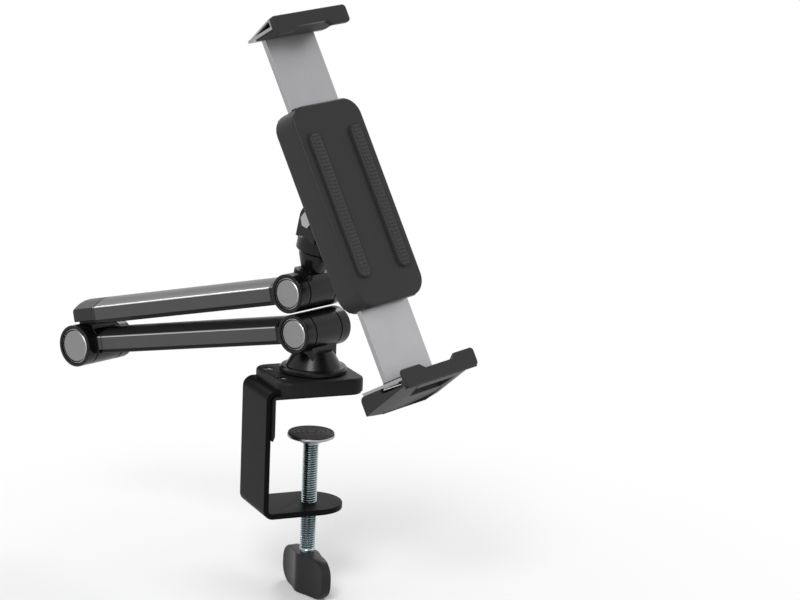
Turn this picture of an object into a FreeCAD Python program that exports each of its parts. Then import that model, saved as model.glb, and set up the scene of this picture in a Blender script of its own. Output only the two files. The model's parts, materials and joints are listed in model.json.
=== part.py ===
import FreeCAD, Part
import os
from math import acos, asin, cos, degrees, pi, radians, sin, sqrt, tan

# A holder on a folding arm: a bent steel clamp, two arm sections with friction hinges, and a
# cradle with two sliding grips. Millimetres. The origin lies on the clamp screw's axis, in the
# plane under the clamp's liner. X runs out of the jaw, Y across it and Z up.

V = FreeCAD.Vector
X, Y, Z = V(1, 0, 0), V(0, 1, 0), V(0, 0, 1)

# Fits and gaps
running = 0.05
seat_gap = 0.1
free_gap = 0.3
press_gap = 0.02
plug_gap = 0.15
hole_gap = 0.2

# Clamp: a flat steel bar bent to a C
strap_width = 42.0
strap_thickness = 3.5
strap_reach = 38.5
jaw_height = 73.0
bend_radius = 3.0
clamped_thickness = 28.0

# Plastic liner inside the jaw
liner_width = 46.0
liner_thickness = 2.0
liner_drop = 26.0
liner_corner = 9.0
liner_reach = 5.0
liner_nose = 3.0
liner_lead = 1.2
bend_clearance = 0.4

# Cover over the clamp's top plate
cover_height = 5.5
cover_front = 26.0
cover_width = 51.0
cover_edge = 2.0

# Screws that hold the cover to the clamp
base_screw_x = -25.0
base_screw_y = 13.0
base_screw_head = 3.2
base_screw_shank = 1.6
base_screw_sink = 2.6

# Clamp screw, foot and wing knob
screw_radius = 5.0
tip_radius = 3.5
tip_length = 3.0
neck_radius = 4.4
neck_length = 2.5
foot_radius = 15.0
foot_height = 5.0
pad_thickness = 1.5
shaft_below_tongue = 30.4
wing_length = 52.6
wing_height = 25.3
wing_hub = 15.5
wing_tip = 6.4
wing_ridge = 5.0
wing_turn = -83.0
wing_corner = 10.0
knob_socket = 14.0

# Swivel at the base
spigot_radius = 7.0
spigot_flange = 11.0
spigot_flange_height = 2.5
spigot_height = 14.5
groove_depth = 1.5
groove_rim = 2.6
groove_height = 4.3
washer_height = 0.8
turret_radius = 21.0
turret_disc = 3.2
base_axis_height = 37.4
set_screw_radius = 2.0

# Friction hinges, all alike but for the size of the barrel
elbow_barrel = 13.9
end_barrel = 12.2
barrel_half = 21.0
knuckle_half = 11.6
hinge_washer = 0.9
hinge_washer_radius = 11.0
pin_radius = 4.0
pin_head_radius = 6.5
pin_head_height = 2.6
pin_chamfer = 0.6
nut_flats = 11.5
cap_rim = 2.2
cap_thickness = 1.9
cap_recess = 1.6
cap_step = 0.6
cap_dome = 0.5
head_pocket = 7.6
post_half = 7.5

# Arms: an extruded section with an arched top and an open underside
arm_length = 193.0
arm_width = 32.5
side_top = 4.6
side_bottom = -3.8
crown_rise = 5.0
arm_wall = 2.0
arm_edge = 0.6
profile_start = 18.0
fork_plug = 24.0
plug_lift = 1.1
plug_drop = 1.2
web_wall = 1.6
strip_drop = 2.8
strip_inset = 2.2
strip_wall = 1.8
strip_edge = 1.2
elbow_offset = 19.1
bracket_length = 50.0
end_overhang = 1.5

# Head between the upper arm and the cradle
neck_height = 46.6
collar_radius = 10.5
collar_drop = 20.7
yoke_radius = 13.0
yoke_base = 9.7
yoke_bore = 7.2
yoke_spigot = 6.0
tilt_radius = 9.0
tilt_half = 7.0
tilt_ear = 4.4
tilt_pin_radius = 3.0
tilt_head = 5.5
tilt_head_height = 2.2
tilt_nut_flats = 8.6
yoke_screw_radius = 2.5
yoke_screw_head = 4.4
yoke_screw_height = 1.6
rotor_radius = 19.0
rotor_thickness = 4.0
rotor_distance = 14.0
rotor_bolt_radius = 3.0
rotor_bolt_head = 6.0

# Cradle, with depths measured back from the front of what it holds
cradle_depth = 34.0
shell_back = -32.0
shell_front = -16.0
front_face = -12.0
cradle_wall = 2.0
cradle_half = 64.0
cradle_width = 56.0
cradle_corner = 12.0
cradle_screw_x = 22.0
cradle_screw_y = 52.0
cradle_screw_head = 2.7
cradle_screw_shank = 1.45
cradle_screw_sink = 2.4
cradle_post = 3.6
guide_half = 0.9
guide_gap = 1.2
floor_inset = 8.0
floor_half = 6.0
rib_half = 0.8
rib_place = 34.0
rib_reach = 22.0
pad_front = -9.5
pad_width = 9.0
pad_length = 92.0
pad_spacing = 34.0

# Grippers and their slide plates
opening_rest = 218.2
gripper_width = 61.0
lip_back = 1.5
lip_thickness = 3.0
lip_outer = 8.0
lip_inner = 0.4
ear_inner = 3.4
ear_width = 15.0
ear_slope = 4.0
lip_corner = 2.5
seat_pad = 0.8
seat_plate = 1.8
pad_back = -17.5
wedge_back = -39.0
wedge_outer = 16.6
wedge_wall = 2.4
wedge_heel = 3.5
wedge_side = 12.0
wedge_rise = 1.8
wedge_slope = 0.22
facet_depth = 45.0
facet_run = 60.0
wedge_thin = 0.8
notch_back = -19.3
notch_height = 2.9
slot_front_width = 33.0
slot_back_width = 27.0
slot_front = -4.5
slot_back = -16.0
gusset = 2.0
window_back = -15.0
window_height = 3.4
short_bead_back = -9.0
seat_screw_x = 22.0
seat_screw_z = -3.2
seat_screw_head = 2.7
seat_screw_shank = 1.45
seat_screw_end = 4.6
bead_radius = 1.1
bead_inset = 1.5
bead_back = -16.5
bead_front = -2.5
recess_depth = 4.0
post_wall = 1.6
slide_width = 40.0
slide_thickness = 3.5
slide_front = -19.0
slide_gap = 0.6
slide_tail = 20.0
slot_tail = 14.8
slot_reach = 52.0

# Rack and pinion that keeps the cradle centred
module = 1.0
teeth = 18
pressure_angle = 20.0
tooth_gap = 0.16
tooth_clearance = 0.25
pinion_bore = 3.0

# Rest pose: the pose in which the holder is seen
arm_plane = 118.2
lower_slope = 12.2
upper_slope = 14.0
neck_lean = 12.0
head_swivel = -10.1
cradle_tilt = 39.2
cradle_roll = 7.8


def place(point=V(0, 0, 0), axis=Z, angle=0.0):
    return FreeCAD.Placement(point, FreeCAD.Rotation(axis, angle))


def box(x0, x1, y0, y1, z0, z1):
    return Part.makeBox(x1 - x0, y1 - y0, z1 - z0, V(x0, y0, z0))


def rod(radius, start, end, axis=Z, centre=V(0, 0, 0)):
    return Part.makeCylinder(radius, end - start, centre + axis * start, axis)


def cone(radius_a, radius_b, start, end, axis=Z, centre=V(0, 0, 0)):
    return Part.makeCone(radius_a, radius_b, end - start, centre + axis * start, axis)


def prism(points, direction):
    wire = Part.makePolygon(points + [points[0]])
    return Part.Face(wire).extrude(direction)


def rounded(width, length, corner, low, high, centre=V(0, 0, 0)):
    """A plate with rounded corners, width along X and length along Y."""
    plate = box(-width / 2, width / 2, -length / 2, length / 2, low, high)
    upright = [e for e in plate.Edges if abs(e.tangentAt(e.FirstParameter).z) > 0.9]
    plate = plate.makeFillet(corner, upright)
    plate.translate(centre)
    return plate


def hexagon(flats, start, end, axis, centre=V(0, 0, 0)):
    nut = Part.Face(Part.makePolygon([V(flats / sqrt(3) * cos(radians(60 * k)),
                                        flats / sqrt(3) * sin(radians(60 * k)), 0)
                                      for k in range(7)])).extrude(V(0, 0, end - start))
    nut.Placement = FreeCAD.Placement(centre + axis * start, FreeCAD.Rotation(Z, axis))
    return nut


def ring_profile(points, axis=Z, centre=V(0, 0, 0)):
    """A turned piece from (radius, height) points."""
    wire = Part.makePolygon([V(r, 0, h) for r, h in points + [points[0]]])
    turned = Part.Face(wire).revolve(V(0, 0, 0), Z, 360)
    turned.Placement = FreeCAD.Placement(centre, FreeCAD.Rotation(Z, axis))
    return turned


def soften(shape, radius, keep):
    """Fillets the edges that keep() picks, when there are any."""
    edges = [e for e in shape.Edges if keep(e)]
    return shape.makeFillet(radius, edges) if edges else shape


def level(edge, axis, value):
    """True where an edge lies wholly at one coordinate along an axis."""
    box_ = edge.BoundBox
    low, high = {"x": (box_.XMin, box_.XMax), "y": (box_.YMin, box_.YMax),
                 "z": (box_.ZMin, box_.ZMax)}[axis]
    return abs(low - value) < 1e-3 and abs(high - value) < 1e-3


nodes = {}


def node(name, shapes, where=FreeCAD.Placement()):
    """Keeps one named piece, placed in the part's frame."""
    shapes = shapes if isinstance(shapes, list) else [shapes]
    solids = []
    for shape in shapes:
        for solid in shape.removeSplitter().Solids:
            moved = solid.copy()
            moved.Placement = where.multiply(moved.Placement)
            solids.append(moved)
    nodes[name] = solids


# Clamp
plate_bottom = liner_thickness
plate_top = plate_bottom + strap_thickness
tongue_top = -jaw_height
tongue_bottom = tongue_top - strap_thickness
inner_face = -strap_reach + strap_thickness
cover_top = plate_top + cover_height


def bent_bar(left, right, low, high, radius):
    """The outline of a bar bent at its two left corners, open to the right."""
    outer = box(left, right, -strap_width / 2, strap_width / 2, low, high)
    return outer.makeFillet(radius, [e for e in outer.Edges if abs(e.tangentAt(e.FirstParameter).y) > 0.9
                                     and e.BoundBox.XMax < left + 0.01])


def strap():
    tip = strap_width / 2
    bar = bent_bar(-strap_reach, tip, tongue_bottom, plate_top, bend_radius + strap_thickness)
    bar = bar.cut(bent_bar(inner_face, tip + 1, tongue_top, plate_bottom, bend_radius))
    plan = box(-strap_reach - 1, 0, -tip, tip, tongue_bottom - 1, plate_top + 1)
    bar = bar.common(plan.fuse(rod(tip, tongue_bottom - 1, plate_top + 1)))
    bar = bar.cut(rod(screw_radius + running, tongue_bottom - 1, tongue_top + 1))
    bar = bar.cut(rod(spigot_radius - 2 + running, plate_bottom - 1, plate_top + 1))
    for y in (-base_screw_y, base_screw_y):
        bar = bar.cut(rod(base_screw_shank, plate_bottom - 1, plate_top + 1, Z, V(base_screw_x, y, 0)))
    return bar


def liner():
    """The L of plastic that lines the steel."""
    half = liner_width / 2
    front = strap_width / 2 + liner_reach
    face = inner_face + liner_thickness
    flat = rounded(front - inner_face, liner_width, liner_corner, 0, liner_thickness,
                   V((front + inner_face) / 2, 0, 0))
    corner = box(inner_face, inner_face + liner_corner, -half, half, 0, liner_thickness)
    leg = box(inner_face, face, -half, half, -liner_drop, liner_thickness)
    nose = prism([V(face, -half, -liner_drop - 0.01), V(face, -half, -liner_drop + liner_nose),
                  V(face - liner_lead, -half, -liner_drop - 0.01)], V(0, liner_width, 0))
    shape = flat.fuse([corner, leg]).cut(nose)
    bend = bend_radius + bend_clearance
    relief = box(inner_face - 1, inner_face + bend, -liner_width, liner_width,
                 plate_bottom - bend, plate_bottom + 1)
    centre = V(inner_face + bend, 0, plate_bottom - bend)
    relief = relief.cut(rod(bend, -liner_width, liner_width, Y, centre))
    return shape.cut(relief)


def base_cover():
    """The moulded cover that wraps the clamp's top plate and carries the swivel."""
    start = inner_face + bend_radius + 1
    length = cover_front - start
    shape = rounded(length, cover_width, liner_corner, plate_bottom, cover_top,
                    V((cover_front + start) / 2, 0, 0))
    shape = soften(shape, cover_edge, lambda e: level(e, "z", cover_top))
    tip = strap_width / 2 + free_gap
    pocket = box(start - 1, 0, -tip, tip, plate_bottom - 1, plate_top)
    pocket = pocket.fuse(rod(tip, plate_bottom - 1, plate_top))
    pocket = pocket.fuse(rod(spigot_flange + free_gap, plate_top - 1, plate_top + spigot_flange_height))
    shape = shape.cut(pocket).cut(rod(spigot_radius + free_gap, plate_top, cover_top + 1))
    for y in (-base_screw_y, base_screw_y):
        spot = V(base_screw_x, y, 0)
        shape = shape.cut(rod(base_screw_shank + hole_gap, plate_top - 1, cover_top + 1, Z, spot))
        shape = shape.cut(rod(base_screw_head + hole_gap, cover_top - base_screw_sink, cover_top + 1,
                              Z, spot))
    return shape


def base_screw(y):
    spot = V(base_screw_x, y, 0)
    seat = cover_top - base_screw_sink
    head = rod(base_screw_head, seat, cover_top - 0.4, Z, spot)
    return head.fuse(rod(base_screw_shank, plate_bottom + 0.2, seat, Z, spot))


spigot_top = plate_top + spigot_flange_height + spigot_height
groove_low = spigot_top - groove_height - groove_rim


def spigot():
    """A turned post riveted to the top plate, with a groove for the turret's set screw."""
    stem = spigot_radius - 2
    return ring_profile([(0, plate_bottom + 0.1), (stem, plate_bottom + 0.1), (stem, plate_top),
                         (spigot_flange, plate_top), (spigot_flange, plate_top + spigot_flange_height),
                         (spigot_radius, plate_top + spigot_flange_height), (spigot_radius, groove_low),
                         (spigot_radius - groove_depth, groove_low),
                         (spigot_radius - groove_depth, groove_low + groove_height),
                         (spigot_radius, groove_low + groove_height), (spigot_radius, spigot_top - 0.8),
                         (spigot_radius - 0.8, spigot_top), (0, spigot_top)])


def washer(inner, outer, start, end, axis=Z):
    return rod(outer, start, end, axis).cut(rod(inner, start - 1, end + 1, axis))


node("clamp_strap", soften(strap(), 0.5, lambda e: abs(e.BoundBox.ZMax - tongue_top) < 1e-3
                           and e.BoundBox.XMax > 5 and e.BoundBox.XLength > 10))
node("edge_liner", liner())
node("base_cover", base_cover())
node("base_screws", [base_screw(-base_screw_y), base_screw(base_screw_y)])
node("swivel_spigot", spigot())
node("swivel_washer", washer(spigot_radius + free_gap, turret_radius - 3,
                             cover_top, cover_top + washer_height))

# Clamp screw
foot_top = -clamped_thickness
foot_face = foot_top - pad_thickness
foot_bottom = foot_face - foot_height
knob_top = tongue_bottom - shaft_below_tongue


def foot():
    """A pressed steel cup that the screw's tip turns in."""
    socket = tip_radius + running
    return ring_profile([(0, foot_face), (foot_radius, foot_face), (foot_radius, foot_face - 1.4),
                         (foot_radius - 2.5, foot_face - 2.6), (8, foot_face - 2.9), (7, foot_bottom),
                         (socket, foot_bottom), (socket, foot_bottom + tip_length + seat_gap),
                         (0, foot_bottom + tip_length + seat_gap)])


def clamp_screw():
    """The plain shaft at the thread's outer size, with a turned tip and neck."""
    shoulder = foot_bottom - seat_gap
    end = knob_top - knob_socket
    return ring_profile([(0, foot_bottom + tip_length), (tip_radius - 0.5, foot_bottom + tip_length),
                         (tip_radius, foot_bottom + tip_length - 0.5), (tip_radius, shoulder),
                         (screw_radius - 0.8, shoulder), (screw_radius, shoulder - 0.8),
                         (screw_radius, knob_top + neck_length + 0.6), (neck_radius, knob_top + neck_length),
                         (neck_radius, end), (0, end)])


def wing_knob():
    """A moulded thumb wing: a ridge at the hub, flanks that taper to blunt tips and rounded lobes."""
    half = wing_length / 2
    corners = [V(-half, -wing_tip / 2, 0), V(0, -wing_hub / 2, 0), V(half, -wing_tip / 2, 0),
               V(half, wing_tip / 2, 0), V(0, wing_hub / 2, 0), V(-half, wing_tip / 2, 0)]
    wing = prism(corners, V(0, 0, wing_height))
    upright = [e for e in wing.Edges if e.BoundBox.ZLength > 1]
    wing = wing.makeFillet(wing_ridge, [e for e in upright if abs(e.BoundBox.XMin) < 1])
    upright = [e for e in wing.Edges if e.BoundBox.ZLength > 1 and abs(abs(e.BoundBox.XMin) - half) < 1e-3]
    wing = wing.makeFillet(wing_tip * 0.35, upright)
    lobes = box(-half, half, -wing_hub, wing_hub, 0, wing_height)
    across = [e for e in lobes.Edges if abs(e.tangentAt(e.FirstParameter).y) > 0.9]
    lobes = lobes.makeFillet(wing_corner, across)
    wing = wing.common(lobes)
    socket = rod(neck_radius + running / 2, wing_height - knob_socket - seat_gap, wing_height + 1)
    return wing.cut(socket)


knob_place = place(V(0, 0, knob_top - wing_height), Z, wing_turn)
node("pressure_foot", foot())
node("foot_pad", rod(foot_radius - 0.5, foot_face, foot_top))
node("clamp_screw", clamp_screw())
node("wing_knob", wing_knob(), knob_place)

# Frames of the moving bodies, in the rest pose
base_frame = place(V(0, 0, base_axis_height), Z, arm_plane)
lower_frame = base_frame.multiply(place(V(0, 0, 0), Y, lower_slope))
elbow_frame = lower_frame.multiply(place(X * arm_length, Y, -lower_slope)).multiply(place(axis=Z, angle=180))
upper_frame = elbow_frame.multiply(place(axis=Y, angle=-upper_slope)).multiply(place(Z * elbow_offset))
head_frame = upper_frame.multiply(place(X * arm_length, Y, upper_slope + neck_lean))
yoke_frame = head_frame.multiply(place(Z * neck_height, Z, head_swivel))
tilt_frame = yoke_frame.multiply(place(V(0, 0, 0), Y, -cradle_tilt))
roll_frame = tilt_frame.multiply(place(V(0, 0, 0), X, cradle_roll))
cradle_frame = roll_frame.multiply(place(X * (rotor_distance + cradle_depth), V(1, 1, 1), 120))


# Turret
turret_low = cover_top + washer_height + seat_gap


def turret():
    """The swivel disc with a cone and a post that carries the lower arm's hinge."""
    axis_up = base_axis_height
    disc_top = turret_low + turret_disc
    shoulder = axis_up - end_barrel - free_gap
    shape = ring_profile([(0, turret_low), (turret_radius, turret_low), (turret_radius, disc_top - 1.2),
                          (turret_radius - 1.2, disc_top), (turret_radius - 3.5, disc_top),
                          (knuckle_half, shoulder), (0, shoulder)])
    post = box(-post_half - 1, post_half + 1, -knuckle_half, knuckle_half, disc_top, axis_up)
    ring = rod(end_barrel, -knuckle_half, knuckle_half, Y, V(0, 0, axis_up))
    upper = post.fuse(ring)
    upper.Placement = place(V(0, 0, 0), Z, arm_plane)
    shape = shape.fuse(upper).removeSplitter()
    bore = rod(pin_radius + running, -knuckle_half - 1, knuckle_half + 1, Y, V(0, 0, axis_up))
    grub = rod(set_screw_radius + running, 0, end_barrel + 5, X, V(0, 0, set_screw_height))
    for cutter in (bore, grub):
        cutter.Placement = place(V(0, 0, 0), Z, arm_plane)
        shape = shape.cut(cutter)
    return shape.cut(rod(spigot_radius + running, turret_low - 1, spigot_top + free_gap))


set_screw_height = groove_low + groove_height / 2


def set_screw():
    tip = spigot_radius - groove_depth + 0.2
    return rod(set_screw_radius, tip, post_half + 0.6, X, V(0, 0, set_screw_height))


node("turret", turret())
node("turret_set_screw", set_screw(), place(V(0, 0, 0), Z, arm_plane))


# Arm sections
def arch(half, low, top, rise):
    """An outline in the YZ plane with straight sides and an arched top."""
    crown = Part.Arc(V(0, half, top), V(0, 0, top + rise), V(0, -half, top)).toShape()
    corners = [V(0, -half, top), V(0, -half, low), V(0, half, low), V(0, half, top)]
    sides = [Part.makeLine(a, b) for a, b in zip(corners, corners[1:])]
    return Part.Face(Part.Wire([crown] + sides))


def arm_block(start, end, low=side_bottom, inset=0.0):
    outline = arch(arm_width / 2 - inset, low, side_top - inset * 0.6, crown_rise - inset * 0.4)
    block = outline.extrude(X * (end - start))
    block.translate(X * start)
    return block


def profile():
    """The aluminium section, open below."""
    start, end = profile_start, arm_length - profile_start
    outer = arm_block(start, end)
    outer = soften(outer, arm_edge, lambda e: e.BoundBox.XLength > 50 and e.BoundBox.ZMin > 0)
    return outer.cut(arm_block(start - 1, end + 1, side_bottom - 1, arm_wall))


def strip(start, end):
    """The plastic strip that closes the underside, hollow above for a lead."""
    half = arm_width / 2 - strip_inset
    low = side_bottom - strip_drop
    body = box(start, end, -half, half, low, side_bottom + strip_wall + 1)
    lower = [e for e in body.Edges if e.BoundBox.XLength > 50 and abs(e.BoundBox.ZMax - low) < 1e-3]
    body = body.makeFillet(strip_edge, lower)
    inner = half - strip_wall
    return body.cut(box(start - 1, end + 1, -inner, inner, low + strip_wall, side_bottom + 9))


cheek_start = knuckle_half + hinge_washer + seat_gap
pin_seat = barrel_half - cap_recess - cap_thickness - pin_head_height - hole_gap
cap_seat = barrel_half - cap_recess - cap_thickness + cap_step


def plug(length):
    """The tongue that holds an end piece in the section."""
    half = arm_width / 2 - arm_wall - plug_gap
    return box(profile_start - 0.5, profile_start + length, -half, half,
               side_bottom + strip_wall + plug_lift, side_top - plug_drop)


def fork(radius):
    """The hinge casting at an arm's end: two round cheeks, a web and a plug. The axis is at X = 0."""
    cheeks = rod(radius, -barrel_half, barrel_half, Y)
    cheeks = soften(cheeks, 0.8, lambda e: e.BoundBox.YLength < 1e-3)
    low = side_bottom - strip_drop + 0.4
    web = arm_block(6, profile_start, low, 0.05)
    shape = cheeks.fuse([web, plug(fork_plug)])
    hollow = rod(profile_start - web_wall, -cheek_start, cheek_start, Y)
    slot = box(-radius - 1, 0, -cheek_start, cheek_start, -radius - 1, radius + 1)
    shape = shape.cut(hollow).cut(slot)
    shape = shape.cut(rod(pin_radius + press_gap, -barrel_half - 1, barrel_half + 1, Y))
    for side in (-1, 1):
        shape = shape.cut(rod(head_pocket, pin_seat, barrel_half + 1, Y * side))
        shape = shape.cut(rod(radius - cap_rim + seat_gap, cap_seat, barrel_half + 1, Y * side))
    return shape.removeSplitter()


def hinge_pin():
    top = pin_seat + pin_head_height
    head = ring_profile([(0, pin_seat), (pin_head_radius, pin_seat), (pin_head_radius, top - pin_chamfer),
                         (pin_head_radius - pin_chamfer, top), (0, top)], Y)
    return head.fuse(rod(pin_radius, -top, pin_seat, Y))


def hinge_nut():
    nut = hexagon(nut_flats, pin_seat, pin_seat + pin_head_height - 0.3, Y * -1)
    return nut.cut(rod(pin_radius + press_gap, pin_seat - 1, pin_seat + 9, Y * -1))


def hinge_washers():
    inner = pin_radius + running
    return [washer(inner, hinge_washer_radius, cheek_start - hinge_washer, cheek_start, Y * side)
            for side in (-1, 1)]


def hinge_caps(radius):
    """Two grey discs, slightly domed, set into the cheeks."""
    rim = cap_seat + cap_thickness
    edge = radius - cap_rim
    sphere = (edge ** 2 + cap_dome ** 2) / (2 * cap_dome)
    caps = []
    for side in (-1, 1):
        disc = rod(edge, cap_seat, rim + cap_dome, Y * side)
        caps.append(disc.common(Part.makeSphere(sphere, Y * side * (rim + cap_dome - sphere))))
    return caps


def hinge_set(prefix, where, radius):
    node(prefix + "_fork", fork(radius), where)
    node(prefix + "_pin", hinge_pin(), where)
    node(prefix + "_nut", hinge_nut(), where)
    node(prefix + "_washers", hinge_washers(), where)
    node(prefix + "_caps", hinge_caps(radius), where)


turned = place(X * arm_length, Z, 180)

# Lower arm
node("lower_profile", profile(), lower_frame)
node("lower_strip", strip(profile_start, arm_length - profile_start), lower_frame)
hinge_set("base", lower_frame, end_barrel)
hinge_set("elbow", lower_frame.multiply(turned), elbow_barrel)


# Upper arm
def elbow_knuckle():
    """The bracket that hangs the upper arm over the elbow's barrel."""
    drop = elbow_offset
    ring = rod(elbow_barrel, -knuckle_half, knuckle_half, Y, Z * -drop)
    top = side_bottom - seat_gap
    post = box(-end_overhang, post_half + 3, -knuckle_half, knuckle_half, -drop, top)
    half = arm_width / 2 - strip_inset
    low = side_bottom - strip_drop
    tread = box(profile_start, bracket_length, -half, half, low, side_bottom + strip_wall + 1)
    tread = soften(tread, strip_edge, lambda e: e.BoundBox.XLength > 20 and e.BoundBox.ZMax < side_bottom)
    nose = box(profile_start - 8, bracket_length - 6, -knuckle_half, knuckle_half, low, top)
    shape = ring.fuse([post, tread, nose]).removeSplitter()
    return shape.cut(rod(pin_radius + running, -knuckle_half - 1, knuckle_half + 1, Y, Z * -drop))


def end_cap():
    """The plastic cap that closes the upper arm over the elbow."""
    cap = arm_block(-end_overhang, profile_start)
    cap = soften(cap, 2.2, lambda e: level(e, "x", -end_overhang) and e.BoundBox.ZMax > side_top + 1)
    cap = soften(cap, 1.0, lambda e: level(e, "x", -end_overhang) and e.BoundBox.YLength < 1e-3
                 and e.BoundBox.ZLength > 5)
    return cap.fuse(plug(fork_plug / 2)).removeSplitter()


node("upper_profile", profile(), upper_frame)
node("upper_strip", strip(bracket_length + seat_gap, arm_length - profile_start), upper_frame)
node("elbow_knuckle", elbow_knuckle(), upper_frame)
node("upper_end_cap", end_cap(), upper_frame)
hinge_set("head", upper_frame.multiply(turned), end_barrel)


# Neck and yoke
collar_height = neck_height - collar_drop
yoke_low = collar_height + seat_gap
yoke_top = yoke_low + yoke_base
spigot_end = yoke_low + yoke_bore - seat_gap


def neck():
    """The knuckle between the upper arm's cheeks, rising to a collar and a spigot."""
    ring = rod(end_barrel, -knuckle_half, knuckle_half, Y)
    low = box(-post_half, post_half, -knuckle_half + 1, knuckle_half - 1, 0, end_barrel + 1.1)
    low = soften(low, 3, lambda e: e.BoundBox.ZLength > 5)
    collar = ring_profile([(0, end_barrel + 1), (post_half - 0.3, end_barrel + 1),
                           (collar_radius, collar_height - 3), (collar_radius, collar_height - 0.8),
                           (collar_radius - 0.8, collar_height), (yoke_spigot, collar_height),
                           (yoke_spigot, spigot_end), (0, spigot_end)])
    shape = ring.fuse([low, collar]).removeSplitter()
    shape = shape.cut(rod(pin_radius + running, -knuckle_half - 1, knuckle_half + 1, Y))
    return shape.cut(rod(yoke_screw_radius, spigot_end - 6, spigot_end + 1))


ear_start = tilt_half + 0.3
ear_end = ear_start + tilt_ear


def yoke():
    """The swivel fork on the neck, with two round ears for the cradle's tilt pin."""
    base = ring_profile([(0, yoke_low), (yoke_radius - 0.8, yoke_low), (yoke_radius, yoke_low + 0.8),
                         (yoke_radius, yoke_top - 1.5), (yoke_radius - 1.5, yoke_top), (0, yoke_top)])
    ears = rod(tilt_radius, -ear_end, ear_end, Y, Z * neck_height)
    ears = ears.fuse(box(-tilt_radius, tilt_radius, -ear_end, ear_end, yoke_top - 2, neck_height))
    ears = soften(ears, 0.6, lambda e: abs(abs(e.BoundBox.YMin) - ear_end) < 1e-3
                  and e.BoundBox.YLength < 1e-3 and e.BoundBox.ZMax > neck_height)
    shape = base.fuse(ears)
    gap = box(-tilt_radius - 9, tilt_radius + 9, -ear_start, ear_start, yoke_top - 0.8, neck_height + 20)
    shape = shape.cut(gap).cut(rod(yoke_spigot + running, yoke_low - 1, yoke_low + yoke_bore))
    shape = shape.cut(rod(yoke_screw_radius + 0.1, yoke_low, yoke_top + 1))
    return shape.cut(rod(tilt_pin_radius + press_gap, -ear_end - 1, ear_end + 1, Y, Z * neck_height))


def yoke_screw():
    head = yoke_top - 0.8
    shank = rod(yoke_screw_radius - running, spigot_end - 5.5, head)
    return rod(yoke_screw_head, head, head + yoke_screw_height).fuse(shank)


def tilt_pin():
    end = ear_end + tilt_head_height
    return rod(tilt_pin_radius, -end, ear_end, Y).fuse(cone(tilt_head, tilt_head - 0.9, ear_end, end, Y))


def tilt_nut():
    nut = hexagon(tilt_nut_flats, ear_end, ear_end + tilt_head_height, Y * -1)
    return nut.cut(rod(tilt_pin_radius + press_gap, ear_end - 1, ear_end + 9, Y * -1))


to_yoke = place(Z * -neck_height)
node("neck", neck(), head_frame)
node("yoke", yoke(), yoke_frame.multiply(to_yoke))
node("yoke_screw", yoke_screw(), yoke_frame.multiply(to_yoke))
node("tilt_pin", tilt_pin(), yoke_frame)
node("tilt_nut", tilt_nut(), yoke_frame)


def tilt_block():
    """The short hinge block with the disc that the cradle turns on. X points to the cradle."""
    disc_back = rotor_distance - rotor_thickness
    ring = rod(tilt_radius - 0.3, -tilt_half, tilt_half, Y)
    stem = box(0, disc_back + 1, -tilt_half, tilt_half, -tilt_radius + 1.8, tilt_radius - 1.8)
    disc = ring_profile([(0, disc_back), (rotor_radius - 1.6, disc_back), (rotor_radius, disc_back + 1.6),
                         (rotor_radius, rotor_distance - seat_gap), (0, rotor_distance - seat_gap)], X)
    shape = ring.fuse([stem, disc]).removeSplitter()
    shape = shape.cut(rod(tilt_pin_radius + running, -tilt_half - 1, tilt_half + 1, Y))
    return shape.cut(rod(rotor_bolt_radius, tilt_pin_radius + 2.5, rotor_distance + 1, X))


bolt_seat = rotor_distance + cradle_depth + shell_back + cradle_wall


def rotor_bolt():
    shank = rod(rotor_bolt_radius - press_gap, tilt_pin_radius + 3, bolt_seat, X)
    return shank.fuse(cone(rotor_bolt_head, rotor_bolt_head - 0.6, bolt_seat, bolt_seat + 2.0, X))


node("tilt_block", tilt_block(), tilt_frame)
node("rotor_bolt", rotor_bolt(), tilt_frame)

# Cradle
slide_back = slide_front - 2 * slide_thickness - slide_gap
pitch_radius = module * teeth / 2
window_half = slide_width / 2 + free_gap
cradle_spots = [V(x, y, 0) for x in (-cradle_screw_x, cradle_screw_x)
                for y in (-cradle_screw_y, cradle_screw_y)]


def cradle_back():
    """The rear shell: a tray with a round boss, screw posts and two end windows."""
    shell = rounded(cradle_width, 2 * cradle_half, cradle_corner, shell_back, shell_front)
    shell = soften(shell, 3.0, lambda e: level(e, "z", shell_back))
    inner = rounded(cradle_width - 2 * cradle_wall, 2 * (cradle_half - cradle_wall),
                    cradle_corner - cradle_wall, shell_back + cradle_wall, shell_front + 1)
    shell = shell.cut(inner)
    boss = rod(rotor_radius + 1.5, -cradle_depth, shell_back + 0.5)
    boss = soften(boss, 1.0, lambda e: level(e, "z", -cradle_depth))
    posts = [rod(cradle_post, shell_back + 0.5, shell_front - seat_gap, Z, spot) for spot in cradle_spots]
    reach = cradle_half - cradle_wall
    guides = [box(x - guide_half, x + guide_half, -reach, reach, shell_back + 1, slide_front + free_gap)
              for x in (-window_half - guide_gap, window_half + guide_gap)]
    floors = [box(-window_half, window_half, y - floor_half, y + floor_half,
                  shell_back + 1, slide_back - free_gap)
              for y in (floor_inset - cradle_half, cradle_half - floor_inset)]
    shell = shell.fuse([boss] + posts + guides + floors)
    window = box(-window_half, window_half, -cradle_half - 1, cradle_half + 1, slide_back - free_gap,
                 shell_front + 1)
    shell = shell.cut(window)
    shell = shell.cut(rod(rotor_bolt_radius + running, -cradle_depth - 1, shell_back + cradle_wall + 1))
    for spot in cradle_spots:
        shell = shell.cut(rod(cradle_screw_shank + seat_gap, shell_back - 1, shell_front + 1, Z, spot))
        shell = shell.cut(rod(cradle_screw_head + hole_gap, shell_back - 1, shell_back + cradle_screw_sink,
                              Z, spot))
    return shell.removeSplitter()


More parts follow.
